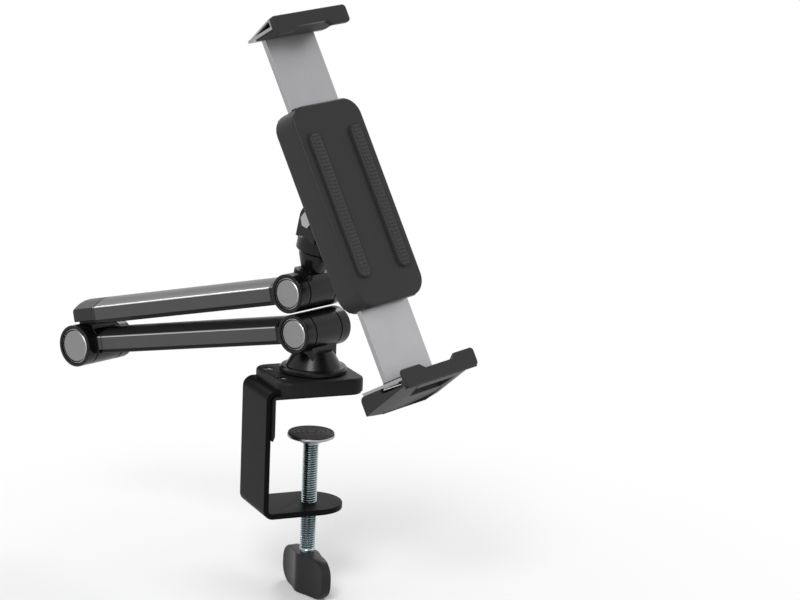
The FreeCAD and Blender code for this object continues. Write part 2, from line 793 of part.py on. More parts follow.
def cradle_front():
    """The front cover with a tongue into each end window and the pinion's post."""
    lid = rounded(cradle_width, 2 * cradle_half, cradle_corner, shell_front, front_face)
    lid = soften(lid, 1.6, lambda e: level(e, "z", front_face))
    lid = lid.cut(rounded(cradle_width - 4 * cradle_wall, 2 * cradle_half - 4 * cradle_wall,
                          cradle_corner - 2 * cradle_wall, shell_front - 1, front_face - 2))
    tongue = slide_front + free_gap
    plugs = [box(-window_half + 0.1, window_half - 0.1, min(sy * cradle_half, sy * (cradle_half - 4)),
                 max(sy * cradle_half, sy * (cradle_half - 4)), tongue, shell_front + 0.5) for sy in (-1, 1)]
    post = rod(pinion_bore, slide_back - 0.3, front_face - 1.5)
    collar = rod(pinion_bore + 3, slide_front + seat_gap, front_face - 1.5)
    ribs = [box(-rib_half, rib_half, y - rib_reach, y + rib_reach, tongue, front_face - 1)
            for y in (-rib_place, rib_place)]
    lid = lid.fuse(plugs + [post, collar] + ribs)
    for spot in cradle_spots:
        lid = lid.fuse(rod(cradle_post, shell_front, front_face - 1, Z, spot))
        lid = lid.cut(rod(cradle_screw_shank + running, shell_front - 1, front_face - 1.2, Z, spot))
    return lid.removeSplitter()


def cradle_screw(spot):
    seat = shell_back + cradle_screw_sink
    head = rod(cradle_screw_head, shell_back + 0.4, seat, Z, spot)
    return head.fuse(rod(cradle_screw_shank, seat, front_face - 1.4, Z, spot))


def cradle_pads():
    pads = []
    for side in (-1, 1):
        pad = rounded(pad_width, pad_length, 4.0, front_face, pad_front, V(side * pad_spacing / 2, 0, 0))
        pads.append(soften(pad, 0.8, lambda e: level(e, "z", pad_front)))
    return pads


node("cradle_back", cradle_back(), cradle_frame)
node("cradle_front", cradle_front(), cradle_frame)
node("cradle_screws", [cradle_screw(spot) for spot in cradle_spots], cradle_frame)
node("cradle_pads", cradle_pads(), cradle_frame)


# Rack and pinion
def involute_half_angle(radius):
    """Half the tooth's angle at a radius, for an involute tooth thinned by the tooth gap."""
    base = pitch_radius * cos(radians(pressure_angle))
    at_pitch = (pi * module / 2 - tooth_gap) / (2 * pitch_radius)
    start = tan(radians(pressure_angle)) - radians(pressure_angle)
    if radius <= base:
        return at_pitch + start
    angle = acos(base / radius)
    return at_pitch + start - (tan(angle) - angle)


def pinion():
    tip = pitch_radius + module
    root = pitch_radius - module - tooth_clearance
    radii = [root, pitch_radius - module * 0.55, pitch_radius, pitch_radius + module * 0.5, tip]
    points = []
    for k in range(teeth):
        middle = 2 * pi * k / teeth
        flank = [(r, involute_half_angle(r)) for r in radii]
        for r, half in flank:
            points.append(V(r * cos(middle - half), r * sin(middle - half), 0))
        for r, half in reversed(flank):
            points.append(V(r * cos(middle + half), r * sin(middle + half), 0))
    gear = prism(points, V(0, 0, 2 * slide_thickness + slide_gap))
    gear.translate(Z * slide_back)
    return gear.cut(rod(pinion_bore + running, slide_back - 1, slide_front + 1))


def rack_cutter(side, low, high, front, back):
    """The slot in a slide plate, toothed on one side; side is -1 or 1. A tooth space faces the pinion."""
    pitch = pi * module
    tip = pitch_radius - module
    root = pitch_radius + module + tooth_clearance
    slant = tan(radians(pressure_angle))
    half_space = pitch / 4 + tooth_gap / 2
    points = [V(-side * (pitch_radius + module + 0.8), low, back), V(side * tip, low, back)]
    count = int((high - low) // pitch)
    first = -int(-low // pitch)
    for k in range(first, first + count + 2):
        centre = k * pitch
        wide = half_space + module * slant
        narrow = half_space - (module + tooth_clearance) * slant
        if centre - wide < low + 0.2 or centre + wide > high - 0.2:
            continue
        points += [V(side * tip, centre - wide, back), V(side * root, centre - narrow, back),
                   V(side * root, centre + narrow, back), V(side * tip, centre + wide, back)]
    points += [V(side * tip, high, back), V(-side * (pitch_radius + module + 0.8), high, back)]
    return prism(points, V(0, 0, front - back))


seat_outer = seat_pad + seat_plate
lip_front = lip_back + lip_thickness


def slide_plate(front, seat_end, gussets):
    """A flat slide with its rack in a long slot, and the seat plate that carries the gripper."""
    seat = opening_rest / 2 + seat_pad
    back = front - slide_thickness
    half = gripper_width / 2
    plate = box(-slide_width / 2, slide_width / 2, -slide_tail, seat + seat_plate, back, front)
    plate = soften(plate, 2.5, lambda e: e.BoundBox.ZLength > 1 and e.BoundBox.YMax < 0)
    plate = plate.cut(rack_cutter(-1, -slot_tail, slot_reach, front + 1, back - 1))
    flange = box(-half, half, seat, seat + seat_plate, seat_end, lip_back)
    for x in (-seat_screw_x, seat_screw_x):
        hole = rod(seat_screw_shank + plug_gap, seat - 1, seat + 9, Y, V(x, 0, seat_screw_z))
        sink = rod(seat_screw_head + seat_gap, seat - 1, seat + 1.0, Y, V(x, 0, seat_screw_z))
        flange = flange.cut(hole).cut(sink)
    shape = plate.fuse(flange)
    if gussets:
        top = opening_rest / 2 + lip_outer - wedge_slope * lip_thickness
        end = top - wedge_slope * (lip_back - seat_end)
        for side in (-1, 1):
            edge = side * half if side < 0 else side * half - gusset
            wall = prism([V(edge, seat, lip_back), V(edge, top, lip_back), V(edge, end, seat_end),
                          V(edge, seat, seat_end)], X * gusset)
            shape = shape.fuse(wall.cut(side_window(seat - seat_pad, edge - 1, gusset + 2)))
    return shape.fuse(seat_beads(seat + seat_plate, gussets)).removeSplitter()


def side_window(seat, start, length):
    """The three-cornered opening in the side of the upper gripper."""
    low = seat + seat_outer
    corners = [V(start, low, lip_back - 1), V(start, low, window_back),
               V(start, low + window_height, lip_back - 1)]
    return prism(corners, X * length)


def seat_beads(level_y, gussets):
    """Half-round stiffening beads along the ends of the seat plate."""
    inset = bead_inset + (gusset + seat_gap if gussets else 0)
    back = short_bead_back if gussets else bead_back
    beads = []
    for side in (-1, 1):
        start = V(side * (gripper_width / 2 - inset), level_y, 0)
        beads.append(rod(bead_radius, back, bead_front, Z, start))
    return beads


# Grippers, drawn for the upper one: Y points outwards, and the seat for the held edge is at Y = 0
def lip():
    """The hooked lip with a raised ear at each end."""
    half = gripper_width / 2
    step = half - ear_width
    outline = [V(-half, lip_outer, 0), V(-half, -ear_inner, 0), V(-step, -ear_inner, 0),
               V(-step + ear_slope, -lip_inner, 0), V(step - ear_slope, -lip_inner, 0),
               V(step, -ear_inner, 0), V(half, -ear_inner, 0), V(half, lip_outer, 0)]
    plate = prism(outline, V(0, 0, lip_thickness))
    plate.translate(Z * lip_back)
    corners = [e for e in plate.Edges if e.BoundBox.ZLength > 1 and abs(abs(e.BoundBox.XMin) - half) < 1e-3]
    plate = plate.makeFillet(lip_corner, corners)
    return soften(plate, 0.7, lambda e: level(e, "z", lip_back + lip_thickness))


def screw_bores(shape, depth):
    for x in (-seat_screw_x, seat_screw_x):
        shape = shape.cut(rod(seat_screw_shank + 0.05, seat_outer - 1, depth, Y, V(x, 0, seat_screw_z)))
    return shape


def top_gripper():
    """The upper moulding: the lip and a short wedge that dies out on the seat plate."""
    half = gripper_width / 2 - gusset - seat_gap
    low = seat_outer + running
    end = lip_front - (lip_outer - low - wedge_thin) / wedge_slope
    wedge = prism([V(-half, low, lip_back + 1), V(-half, low, end), V(-half, low + wedge_thin, end),
                   V(-half, lip_outer - wedge_slope * 2, lip_back + 1)], X * (2 * half))
    for start in (-half - 1, half - recess_depth):
        wedge = wedge.cut(side_window(0, start, recess_depth + 1))
    return screw_bores(wedge.fuse(lip()).removeSplitter(), seat_screw_end)


def bottom_gripper():
    """The lower moulding: the lip and a deep hollow wedge, its outer wall bent up at both sides."""
    half = gripper_width / 2
    low = seat_outer + running
    lean = (wedge_outer - lip_outer) / (lip_front - wedge_back)
    outline = [V(-half, low, lip_back + 1), V(-half, low, wedge_back), V(-half, wedge_outer, wedge_back),
               V(-half, lip_outer + lean * 2, lip_back + 1)]
    body = prism(outline, X * gripper_width)
    rear = [e for e in body.Edges if e.BoundBox.XLength > 50 and e.BoundBox.ZMax < wedge_back + 0.01]
    body = body.makeFillet(wedge_heel, [e for e in rear if e.BoundBox.YMax < 5])
    rear = [e for e in body.Edges if e.BoundBox.XLength > 50 and e.BoundBox.ZMax < wedge_back + 0.01
            and e.BoundBox.YMax > 9]
    body = body.makeFillet(1.5, rear)

    def outer_at(z):
        return wedge_outer - (z - wedge_back) * lean

    for side in (-1, 1):
        near, far = side * (half - wedge_side), side * (half + 1)
        facet = prism([V(near, lip_outer, 0), V(near, facet_depth, 0), V(far, facet_depth, 0),
                       V(far, lip_outer - wedge_rise, 0)], V(0, 0, facet_run))
        facet.translate(V(0, 0, lip_back - facet_run))
        facet.rotate(V(0, outer_at(lip_back), lip_back), X, degrees(asin(lean)))
        body = body.cut(facet)
    inner_back = wedge_back + wedge_wall
    front = lip_back - wedge_wall + 0.5
    left = -half + wedge_wall
    skin = wedge_wall + wedge_rise
    hollow = prism([V(left, low - 1, front), V(left, low - 1, inner_back),
                    V(left, outer_at(inner_back) - skin, inner_back),
                    V(left, outer_at(front) - skin, front)],
                   X * (gripper_width - 2 * wedge_wall))
    body = body.cut(hollow)
    body = body.cut(box(-half - 1, half + 1, low - 1, low + notch_height, notch_back, front))
    post_end = outer_at(lip_back) - wedge_rise
    posts = [rod(seat_screw_shank + post_wall, low, post_end, Y, V(x, 0, seat_screw_z))
             for x in (-seat_screw_x, seat_screw_x)]
    wide, narrow, depth = slot_front_width / 2, slot_back_width / 2, lip_outer - 3
    slot = prism([V(-wide, depth, slot_front), V(wide, depth, slot_front),
                  V(narrow, depth, slot_back), V(-narrow, depth, slot_back)], V(0, 20, 0))
    body = body.cut(slot).fuse(posts).fuse(lip()).removeSplitter()
    return screw_bores(body, seat_screw_end)


def gripper_pads():
    """Rubber faces on the seat and behind each ear."""
    half = gripper_width / 2 - 2
    outer, inner = half - 1, half - ear_width + 4
    seat = box(-half, half, 0, seat_pad, pad_back, lip_back)
    backs = [box(left, right, -ear_inner + 0.6, 0, lip_back - seat_pad, lip_back)
             for left, right in ((-outer, -inner), (inner, outer))]
    return seat.fuse(backs).removeSplitter()


def seat_screws():
    """Countersunk screws that hold the moulding to the seat plate."""
    screws = []
    for x in (-seat_screw_x, seat_screw_x):
        centre = V(x, 0, seat_screw_z)
        head = rod(seat_screw_head, seat_pad + 0.1, seat_pad + 1.0, Y, centre)
        screws.append(head.fuse(rod(seat_screw_shank, seat_pad + 1.0, seat_screw_end - 0.2, Y, centre)))
    return screws


seat_y = opening_rest / 2
upper = cradle_frame.multiply(place(Y * seat_y))
lower = cradle_frame.multiply(place(V(0, 0, 0), Z, 180)).multiply(place(Y * seat_y))
turned_over = cradle_frame.multiply(place(V(0, 0, 0), Z, 180))
rear_layer = slide_front - slide_thickness - slide_gap

node("pinion", pinion(), cradle_frame)
node("top_slide", slide_plate(slide_front, slide_front - slide_thickness, True), cradle_frame)
node("bottom_slide", slide_plate(rear_layer, wedge_back + wedge_heel, False), turned_over)
node("top_gripper", top_gripper(), upper)
node("bottom_gripper", bottom_gripper(), lower)
node("top_pads", gripper_pads(), upper)
node("bottom_pads", gripper_pads(), lower)
node("top_screws", seat_screws(), upper)
node("bottom_screws", seat_screws(), lower)

# Export
os.makedirs("parts", exist_ok=True)
for name, solids in nodes.items():
    shape = solids[0] if len(solids) == 1 else Part.makeCompound(solids)
    shape.exportStep("parts/" + name + ".step")
    valid = all(s.isValid() for s in solids)
    print(name, len(solids), "solids", "volume %.1f" % shape.Volume, "" if valid else "NOT VALID")
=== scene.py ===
"""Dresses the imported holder: bevels, threads, recesses, ribs and finishes for every piece."""

import json
import logging
import math
from abc import ABC, abstractmethod
from collections.abc import Sequence
from dataclasses import dataclass, field
from enum import Enum, IntEnum

import bmesh
import bpy
from bmesh.types import BMesh, BMVert
from bpy.types import Material, Mesh, Node, NodeSocket, NodeTree, Object
from mathutils import Matrix, Vector

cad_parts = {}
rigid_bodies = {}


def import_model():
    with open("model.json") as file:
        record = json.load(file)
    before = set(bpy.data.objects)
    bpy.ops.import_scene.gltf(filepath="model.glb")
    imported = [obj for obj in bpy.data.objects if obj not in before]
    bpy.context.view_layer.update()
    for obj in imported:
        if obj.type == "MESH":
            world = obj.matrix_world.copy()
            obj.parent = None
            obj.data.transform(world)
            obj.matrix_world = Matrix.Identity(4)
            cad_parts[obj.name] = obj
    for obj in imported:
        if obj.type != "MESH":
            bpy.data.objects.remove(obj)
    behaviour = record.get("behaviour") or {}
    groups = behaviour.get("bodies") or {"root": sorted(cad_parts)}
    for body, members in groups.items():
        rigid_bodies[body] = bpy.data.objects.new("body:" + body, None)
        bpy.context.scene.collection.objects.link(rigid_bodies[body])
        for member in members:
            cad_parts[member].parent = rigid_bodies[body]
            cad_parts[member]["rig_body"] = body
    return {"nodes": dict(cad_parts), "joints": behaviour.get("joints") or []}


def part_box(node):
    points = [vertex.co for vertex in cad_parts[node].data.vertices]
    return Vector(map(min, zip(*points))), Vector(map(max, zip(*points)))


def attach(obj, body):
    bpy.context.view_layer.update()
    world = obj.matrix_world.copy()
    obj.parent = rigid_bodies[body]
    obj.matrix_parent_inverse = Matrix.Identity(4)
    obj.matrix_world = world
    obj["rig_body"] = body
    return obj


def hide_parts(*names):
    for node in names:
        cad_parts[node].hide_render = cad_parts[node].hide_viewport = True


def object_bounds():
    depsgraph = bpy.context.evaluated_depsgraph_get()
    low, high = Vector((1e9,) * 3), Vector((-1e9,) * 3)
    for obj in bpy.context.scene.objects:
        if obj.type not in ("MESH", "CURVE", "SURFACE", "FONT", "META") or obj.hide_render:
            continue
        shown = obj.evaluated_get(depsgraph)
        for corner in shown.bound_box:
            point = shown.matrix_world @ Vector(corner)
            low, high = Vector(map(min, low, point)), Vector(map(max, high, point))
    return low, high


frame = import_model()
CAD_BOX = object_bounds()
LOG = logging.getLogger("scene")

MM = 0.001

Colour = tuple[float, float, float, float]

# How a CAD node's mesh is cleaned, shaded and rounded
SHADING = ("custom_normal", "sharp_edge", "sharp_face")
MERGE = 0.002 * MM
FLAT_ANGLE = math.radians(0.7)
CREASE_ANGLE = math.radians(7)
CREASE_AREA = 6 * MM * MM
SMOOTH_ANGLE = math.radians(35)
BEVEL_ANGLE = math.radians(28)

# Marks of handling that every finish shares: their size, how much they show, how far they shade
MARK_SIZE = 18 * MM
MARK_BASE = 0.22
SHADE_LOW = 0.86
SHADE_HIGH = 1.13
SHEEN_SPREAD = 0.07


class Slot(str, Enum):
    """Material slots of the record."""

    STRAP = "strap_steel"
    MOULDING = "moulding"
    KNOB = "knob"
    ZINC = "zinc_screw"
    STEEL = "steel"
    ANODISED = "anodised"
    CAST = "cast_black"
    GRIPPER = "gripper"
    DISC = "disc"
    RUBBER = "rubber"


class Layer(IntEnum):
    """Which of a piece's finishes a face has; the first is its main one, the second pale metal for a
    painted highlight, the third black for painted shade.
    """

    BRIGHT = 1
    DARK = 2


# Placement
def place_matrix(place: Vector, axes: Sequence[Vector]) -> Matrix:
    """The transform that puts something at a place, with its X, Y and Z along three directions."""
    turn = Matrix([[axis[row] for axis in axes] for row in range(3)])
    return Matrix.Translation(place) @ turn.to_4x4()


@dataclass(frozen=True)
class Axes:
    """A right-handed frame in the record's space."""

    origin: Vector
    x: Vector
    z: Vector

    @property
    def y(self) -> Vector:
        """The second axis, square to the other two."""
        return self.z.cross(self.x)

    def matrix(self) -> Matrix:
        """The transform from this frame to the record's."""
        return place_matrix(self.origin, (self.x, self.y, self.z))

    def local(self, point: Vector) -> Vector:
        """A point of the record's space, in this frame."""
        offset = point - self.origin
        return Vector((offset.dot(self.x), offset.dot(self.y), offset.dot(self.z)))

    @staticmethod
    def along(origin: Vector, z: Vector, near_x: Vector) -> "Axes":
        """A frame from its Z axis and a rough direction for X.

        Args:
            origin: where it stands.
            z: its third axis, of any length.
            near_x: a direction that X comes as near to as it can.

        Returns:
            The frame.
        """
        z = z.normalized()
        x = (near_x - z * near_x.dot(z)).normalized()
        return Axes(origin, x, z)


@dataclass(frozen=True)
class Extent:
    """How far points reach in a frame."""

    low: Vector
    high: Vector

    @staticmethod
    def of(points: Sequence[Vector], axes: Axes) -> "Extent":
        """Measures points in a frame.

        Args:
            points: in the record's space.
            axes: the frame.

        Returns:
            Their box in that frame.
        """
        found = [axes.local(p) for p in points]
        return Extent(Vector([min(p[k] for p in found) for k in range(3)]),
                      Vector([max(p[k] for p in found) for k in range(3)]))

    @property
    def middle(self) -> Vector:
        """The box's centre."""
        return (self.low + self.high) / 2

    @property
    def size(self) -> Vector:
        """The box's sides."""
        return self.high - self.low


def joint(name: str) -> dict:
    """The record's joint of that name."""
    return next(j for j in frame["joints"] if j["name"] == name)


def joint_point(name: str) -> Vector:
    """Where a joint's axis passes, in metres."""
    return Vector(joint(name)["pos_m"])


def joint_axis(name: str) -> Vector:
    """The direction of a joint's axis."""
    return Vector(joint(name)["axis"]).normalized()


def middle_of(node: str) -> Vector:
    """The middle of a CAD node's box."""
    low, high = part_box(node)
    return (Vector(low) + Vector(high)) / 2


UP = Vector((0, 0, 1))
ACROSS = joint_axis("base_tilt")
CRADLE_Y = joint_axis("top_slide")
CRADLE_N = joint_axis("cradle_turn")
CRADLE_X = CRADLE_Y.cross(CRADLE_N)


# Materials
def linear(code: str) -> Colour:
    """Turns an sRGB hex colour into linear RGBA.

    Args:
        code: six hex digits after a hash.

    Returns:
        The colour as Blender's sockets take it.
    """
    parts = [int(code[k:k + 2], 16) / 255 for k in (1, 3, 5)]
    rgb = [c / 12.92 if c <= 0.04045 else ((c + 0.055) / 1.055) ** 2.4 for c in parts]
    return (rgb[0], rgb[1], rgb[2], 1.0)


def shaded(code: str, level: float) -> Colour:
    """An sRGB hex colour made darker or lighter, in linear RGBA."""
    red, green, blue, opaque = linear(code)
    return (min(1.0, red * level), min(1.0, green * level), min(1.0, blue * level), opaque)


def set_sockets(tree: NodeTree, node: Node, sockets: dict) -> None:
    """Sets or links a node's input sockets.

    Args:
        tree: the tree that holds the node.
        node: the node.
        sockets: input name or index to a value, or to an output socket to link from.
    """
    for key, value in sockets.items():
        if isinstance(value, NodeSocket):
            tree.links.new(value, node.inputs[key])
        else:
            node.inputs[key].default_value = value


def add_node(tree: NodeTree, kind: str, sockets: dict | None = None, **settings: object) -> Node:
    """Adds a node, sets its properties, and sets or links its input sockets.

    Args:
        tree: the tree that gets the node.
        kind: the node's type name.
        sockets: input name or index to a value, or to an output socket to link from.
        settings: the node's own properties.

    Returns:
        The new node.
    """
    made = tree.nodes.new(kind)
    for name, value in settings.items():
        setattr(made, name, value)
    set_sockets(tree, made, sockets or {})
    return made


def first_node(tree: NodeTree, kind: str) -> Node:
    """The node of a type that a new tree starts with."""
    return next(node for node in tree.nodes if node.type == kind)


def object_place(tree: NodeTree) -> NodeSocket:
    """The Object coordinates, which every pattern reads."""
    return add_node(tree, "ShaderNodeTexCoord").outputs["Object"]


def length_of(tree: NodeTree, vector: NodeSocket) -> NodeSocket:
    """A vector's length."""
    return add_node(tree, "ShaderNodeVectorMath", {0: vector}, operation="LENGTH").outputs["Value"]


def mix_colours(tree: NodeTree, share: NodeSocket, low: Colour, high: Colour | NodeSocket) -> NodeSocket:
    """The colour at a share of the way from one to another."""
    return add_node(tree, "ShaderNodeMix", {"Factor": share, 6: low, 7: high}, data_type="RGBA").outputs[2]


@dataclass(frozen=True)
class Finish:
    """What every finish has: a name, a colour, a sheen and the size of its grain.

    Attributes:
        name: what the material is.
        colour: in sRGB hex.
        roughness: the middle of its range.
        grain: the size of one grain.
        bump: how high the grain stands.
        metallic: 0 for a plastic or a paint, up to 1 for bare metal.
        specular: how strongly a plastic or a paint mirrors.
    """

    name: str
    colour: str
    roughness: float
    grain: float
    bump: float
    metallic: float = 0.0
    specular: float = 0.5

    def pattern(self, tree: NodeTree) -> NodeSocket:
        """The relief of the surface: soft grain, as on moulded or coated parts.

        Args:
            tree: the material's tree.

        Returns:
            A socket from 0 to 1.
        """
        grain = add_node(tree, "ShaderNodeTexNoise",
                         {"Vector": object_place(tree), "Scale": 1 / self.grain, "Detail": 3.0,
                          "Roughness": 0.6})
        return grain.outputs["Fac"]

    def tint(self, tree: NodeTree, relief: NodeSocket) -> NodeSocket:
        """The colour, a little uneven from handling and from the relief.

        Args:
            tree: the material's tree.
            relief: the pattern's socket.

        Returns:
            A colour socket.
        """
        cloud = add_node(tree, "ShaderNodeTexNoise",
                         {"Vector": object_place(tree), "Scale": 1 / MARK_SIZE, "Detail": 2.0})
        blend = add_node(tree, "ShaderNodeMath", {0: cloud.outputs["Fac"], 1: relief, 2: MARK_BASE},
                         operation="MULTIPLY_ADD")
        return mix_colours(tree, blend.outputs[0], shaded(self.colour, SHADE_LOW),
                           shaded(self.colour, SHADE_HIGH))

    def build(self) -> Material:
        """Makes the material once and reuses it.

        Returns:
            The Blender material.
        """
        if self.name in bpy.data.materials:
            return bpy.data.materials[self.name]
        material = bpy.data.materials.new(self.name)
        material.use_nodes = True
        tree = material.node_tree
        relief = self.pattern(tree)
        spread = add_node(tree, "ShaderNodeMapRange",
                          {"Value": relief, "To Min": self.roughness - SHEEN_SPREAD,
                           "To Max": self.roughness + SHEEN_SPREAD})
        bump = add_node(tree, "ShaderNodeBump",
                        {"Height": relief, "Strength": 1.0, "Distance": self.bump})
        set_sockets(tree, first_node(tree, "BSDF_PRINCIPLED"),
                    {"Base Color": self.tint(tree, relief), "Roughness": spread.outputs[0],
                     "Normal": bump.outputs[0], "Metallic": self.metallic,
                     "Specular IOR Level": self.specular})
        return material


@dataclass(frozen=True)
class Brushed(Finish):
    """Metal with fine lines along one direction, as left by drawing or grinding.

    Attributes:
        along: the lines' direction.
        stretch: how many times longer a line is than wide.
    """

    along: tuple[float, float, float] = (1.0, 0.0, 0.0)
    stretch: float = 60.0

    def pattern(self, tree: NodeTree) -> NodeSocket:
        """Long thin streaks: noise that is stretched along the grain.

        Args:
            tree: the material's tree.

        Returns:
            A socket from 0 to 1.
        """
        turn = Vector(self.along).to_track_quat("X", "Z").inverted().to_euler()
        turned = add_node(tree, "ShaderNodeVectorRotate",
                          {"Vector": object_place(tree), "Rotation": tuple(turn)},
                          rotation_type="EULER_XYZ")
        scaled = add_node(tree, "ShaderNodeMapping",
                          {"Vector": turned.outputs[0], "Scale": (1 / self.stretch, 1.0, 1.0)})
        grain = add_node(tree, "ShaderNodeTexNoise",
                         {"Vector": scaled.outputs[0], "Scale": 1 / self.grain, "Detail": 3.0})
        return grain.outputs["Fac"]


@dataclass(frozen=True)
class Turned(Finish):
    """Metal faced on a lathe: fine rings round a centre.

    Attributes:
        centre: a point on the lathe's axis.
        axis: its direction.
    """

    centre: tuple[float, float, float] = (0.0, 0.0, 0.0)
    axis: tuple[float, float, float] = (0.0, 0.0, 1.0)

    def pattern(self, tree: NodeTree) -> NodeSocket:
        """Rings: noise of the distance from the axis.

        Args:
            tree: the material's tree.

        Returns:
            A socket from 0 to 1.
        """
        offset = add_node(tree, "ShaderNodeVectorMath", {0: object_place(tree), 1: self.centre},
                          operation="SUBTRACT")
        arm = add_node(tree, "ShaderNodeVectorMath", {0: offset.outputs[0], 1: self.axis},
                       operation="CROSS_PRODUCT")
        noise = add_node(tree, "ShaderNodeTexNoise",
                         {"W": length_of(tree, arm.outputs[0]), "Scale": 1 / self.grain, "Detail": 2.0},
                         noise_dimensions="1D")
        return noise.outputs["Fac"]


@dataclass(frozen=True)
class Threaded(Finish):
    """Plated metal with painted shade in the roots of its thread.

    Attributes:
        root: the radius up to which the painted shade is full.
        crest: the radius from which there is no painted shade.
        shade: what is left of the colour under the painted shade in the roots.
    """

    root: float = 4.15 * MM
    crest: float = 4.75 * MM
    shade: float = 0.08

    def tint(self, tree: NodeTree, relief: NodeSocket) -> NodeSocket:
        """The finish's colour on the crests, with painted shade in the roots.

        Args:
            tree: the material's tree.
            relief: the pattern's socket.

        Returns:
            A colour socket.
        """
        plain = super().tint(tree, relief)
        # Painted shade: the colour darkens towards the thread's roots, by the distance from the axis
        flat = add_node(tree, "ShaderNodeVectorMath", {0: object_place(tree), 1: (1.0, 1.0, 0.0)},
                        operation="MULTIPLY")
        level = add_node(tree, "ShaderNodeMapRange",
                         {"Value": length_of(tree, flat.outputs[0]), "From Min": self.root,
                          "From Max": self.crest})
        return mix_colours(tree, level.outputs[0], shaded(self.colour, self.shade), plain)


# Powder coat on the bent steel: black with a faint orange peel that breaks up its sheen
POWDER = Finish("powder_coated_steel", "#0d0d0e", 0.42, 0.9 * MM, 0.018 * MM, specular=0.04)
# Liner, cover and strips: dark moulded plastic, dulled by a fine spark-eroded grain
PLASTIC = Finish("textured_plastic", "#171718", 0.5, 0.35 * MM, 0.012 * MM, specular=0.16)
# Arm end cap: a shade lighter and smoother than the covers, so its edge reads against the arm
CAP_PLASTIC = Finish("smooth_plastic", "#262627", 0.4, 0.5 * MM, 0.006 * MM, specular=0.25)
# Knob: soft satin plastic that catches a light band on its flank
KNOB_PLASTIC = Finish("satin_plastic", "#2b2b2c", 0.33, 0.6 * MM, 0.002 * MM, specular=0.11)
# Grippers and housing: glass-filled nylon, dark grey, its fine grain a soft even sheen
NYLON = Finish("glass_filled_nylon", "#29292a", 0.42, 0.3 * MM, 0.008 * MM, specular=0.2)
# Hinge castings: black paint over a smooth casting, the glossiest black of all
CAST = Finish("painted_casting", "#0d0d0e", 0.26, 0.8 * MM, 0.006 * MM, specular=0.25)
# The arms' milled edges and the discs' rims and chamfers: bare aluminium, pale enough to paint a thin
# highlight along them
EDGE_METAL_AND_HIGHLIGHT = Finish("bright_cut_aluminium", "#c4c4c6", 0.42, 0.4 * MM, 0.003 * MM, metallic=0.9)
# Slide plates: drawn aluminium, pale grey. Real draw lines are finer than 0.2 mm and wouldn't show
PLATE_METAL = Brushed("satin_aluminium_plate", "#a2a2a4", 0.36, 0.2 * MM, 0.004 * MM, metallic=0.85,
                      along=tuple(CRADLE_Y))
# Screws, pins and nuts: plated steel, small clear glints in the dark pieces
STEEL = Finish("plated_steel", "#a8a8aa", 0.3, 0.5 * MM, 0.004 * MM, metallic=1.0)
# Clamp screw: blue passivated zinc with a patchy, slightly green sheen, and painted shade in the thread's
# roots
ZINC = Threaded("zinc_plated_steel", "#b2c0c4", 0.22, 1.2 * MM, 0.004 * MM, metallic=1.0)
# Pads: matt rubber, the dullest surface of all
RUBBER = Finish("rubber", "#1b1b1b", 0.75, 0.25 * MM, 0.02 * MM, specular=0.3)
# Washers and pinion: dark acetal with a waxy sheen
ACETAL = Finish("acetal", "#3c3c3c", 0.45, 0.4 * MM, 0.004 * MM)


# Arms: anodised extrusion, anthracite, streaked lengthways by draw lines drawn coarse enough to show
def arm_metal(name: str, along: Vector) -> Brushed:
    """Anthracite anodising over an extrusion's draw lines."""
    return Brushed("anodised_aluminium_" + name, "#4c4c4d", 0.34, 0.22 * MM, 0.004 * MM, metallic=0.7,
                   along=tuple(along))


# Hinge discs: grey anodised aluminium, whose turning rings spread a highlight round the centre
def disc_metal(name: str, centre: Vector) -> Turned:
    """Grey anodising over the rings of a faced disc."""
    return Turned("faced_aluminium_" + name, "#878788", 0.36, 0.16 * MM, 0.006 * MM, metallic=0.7,
                  centre=tuple(centre), axis=tuple(ACROSS))


# Mesh tools
def link(name: str, mesh: Mesh) -> Object:
    """Puts a mesh in the scene as an object at the origin.

    Args:
        name: the object's name.
        mesh: its mesh.

    Returns:
        The object.
    """
    made = bpy.data.objects.new(name, mesh)
    bpy.context.scene.collection.objects.link(made)
    return made


def bake(item: Object) -> Object:
    """Turns an object's modifiers into plain mesh.

    Args:
        item: the object with modifiers.

    Returns:
        The same object, with no modifiers left.
    """
    bpy.context.view_layer.update()
    graph = bpy.context.evaluated_depsgraph_get()
    mesh = bpy.data.meshes.new_from_object(item.evaluated_get(graph), preserve_all_data_layers=True,
                                           depsgraph=graph)
    item.modifiers.clear()
    item.data = mesh
    return item


def merged_copy(node: str) -> BMesh:
    """A CAD node's mesh with shared corners and whole flat faces.

    Args:
        node: the CAD node's name.

    Returns:
        A new BMesh, which the caller frees.
    """
    work = bmesh.new()
    source = frame["nodes"][node].data.copy()
    for name in [a.name for a in source.attributes if a.name in SHADING]:
        source.attributes.remove(source.attributes[name])
    work.from_mesh(source)
    bpy.data.meshes.remove(source)
    bmesh.ops.remove_doubles(work, verts=work.verts, dist=MERGE)
    bmesh.ops.dissolve_limit(work, angle_limit=FLAT_ANGLE, verts=work.verts, edges=work.edges)
    bmesh.ops.recalc_face_normals(work, faces=work.faces)
    mark_creases(work)
    return work


def mark_creases(work: BMesh) -> None:
    """Shades a mesh smooth and leaves the creases between its large faces sharp.

    Args:
        work: the mesh.
    """
    for face in work.faces:
        face.smooth = True
    areas = {face: face.calc_area() for face in work.faces}
    for edge in work.edges:
        if len(edge.link_faces) == 2:
            small = min(areas[face] for face in edge.link_faces) < CREASE_AREA
            edge.smooth = small or edge.calc_face_angle(0) <= CREASE_ANGLE


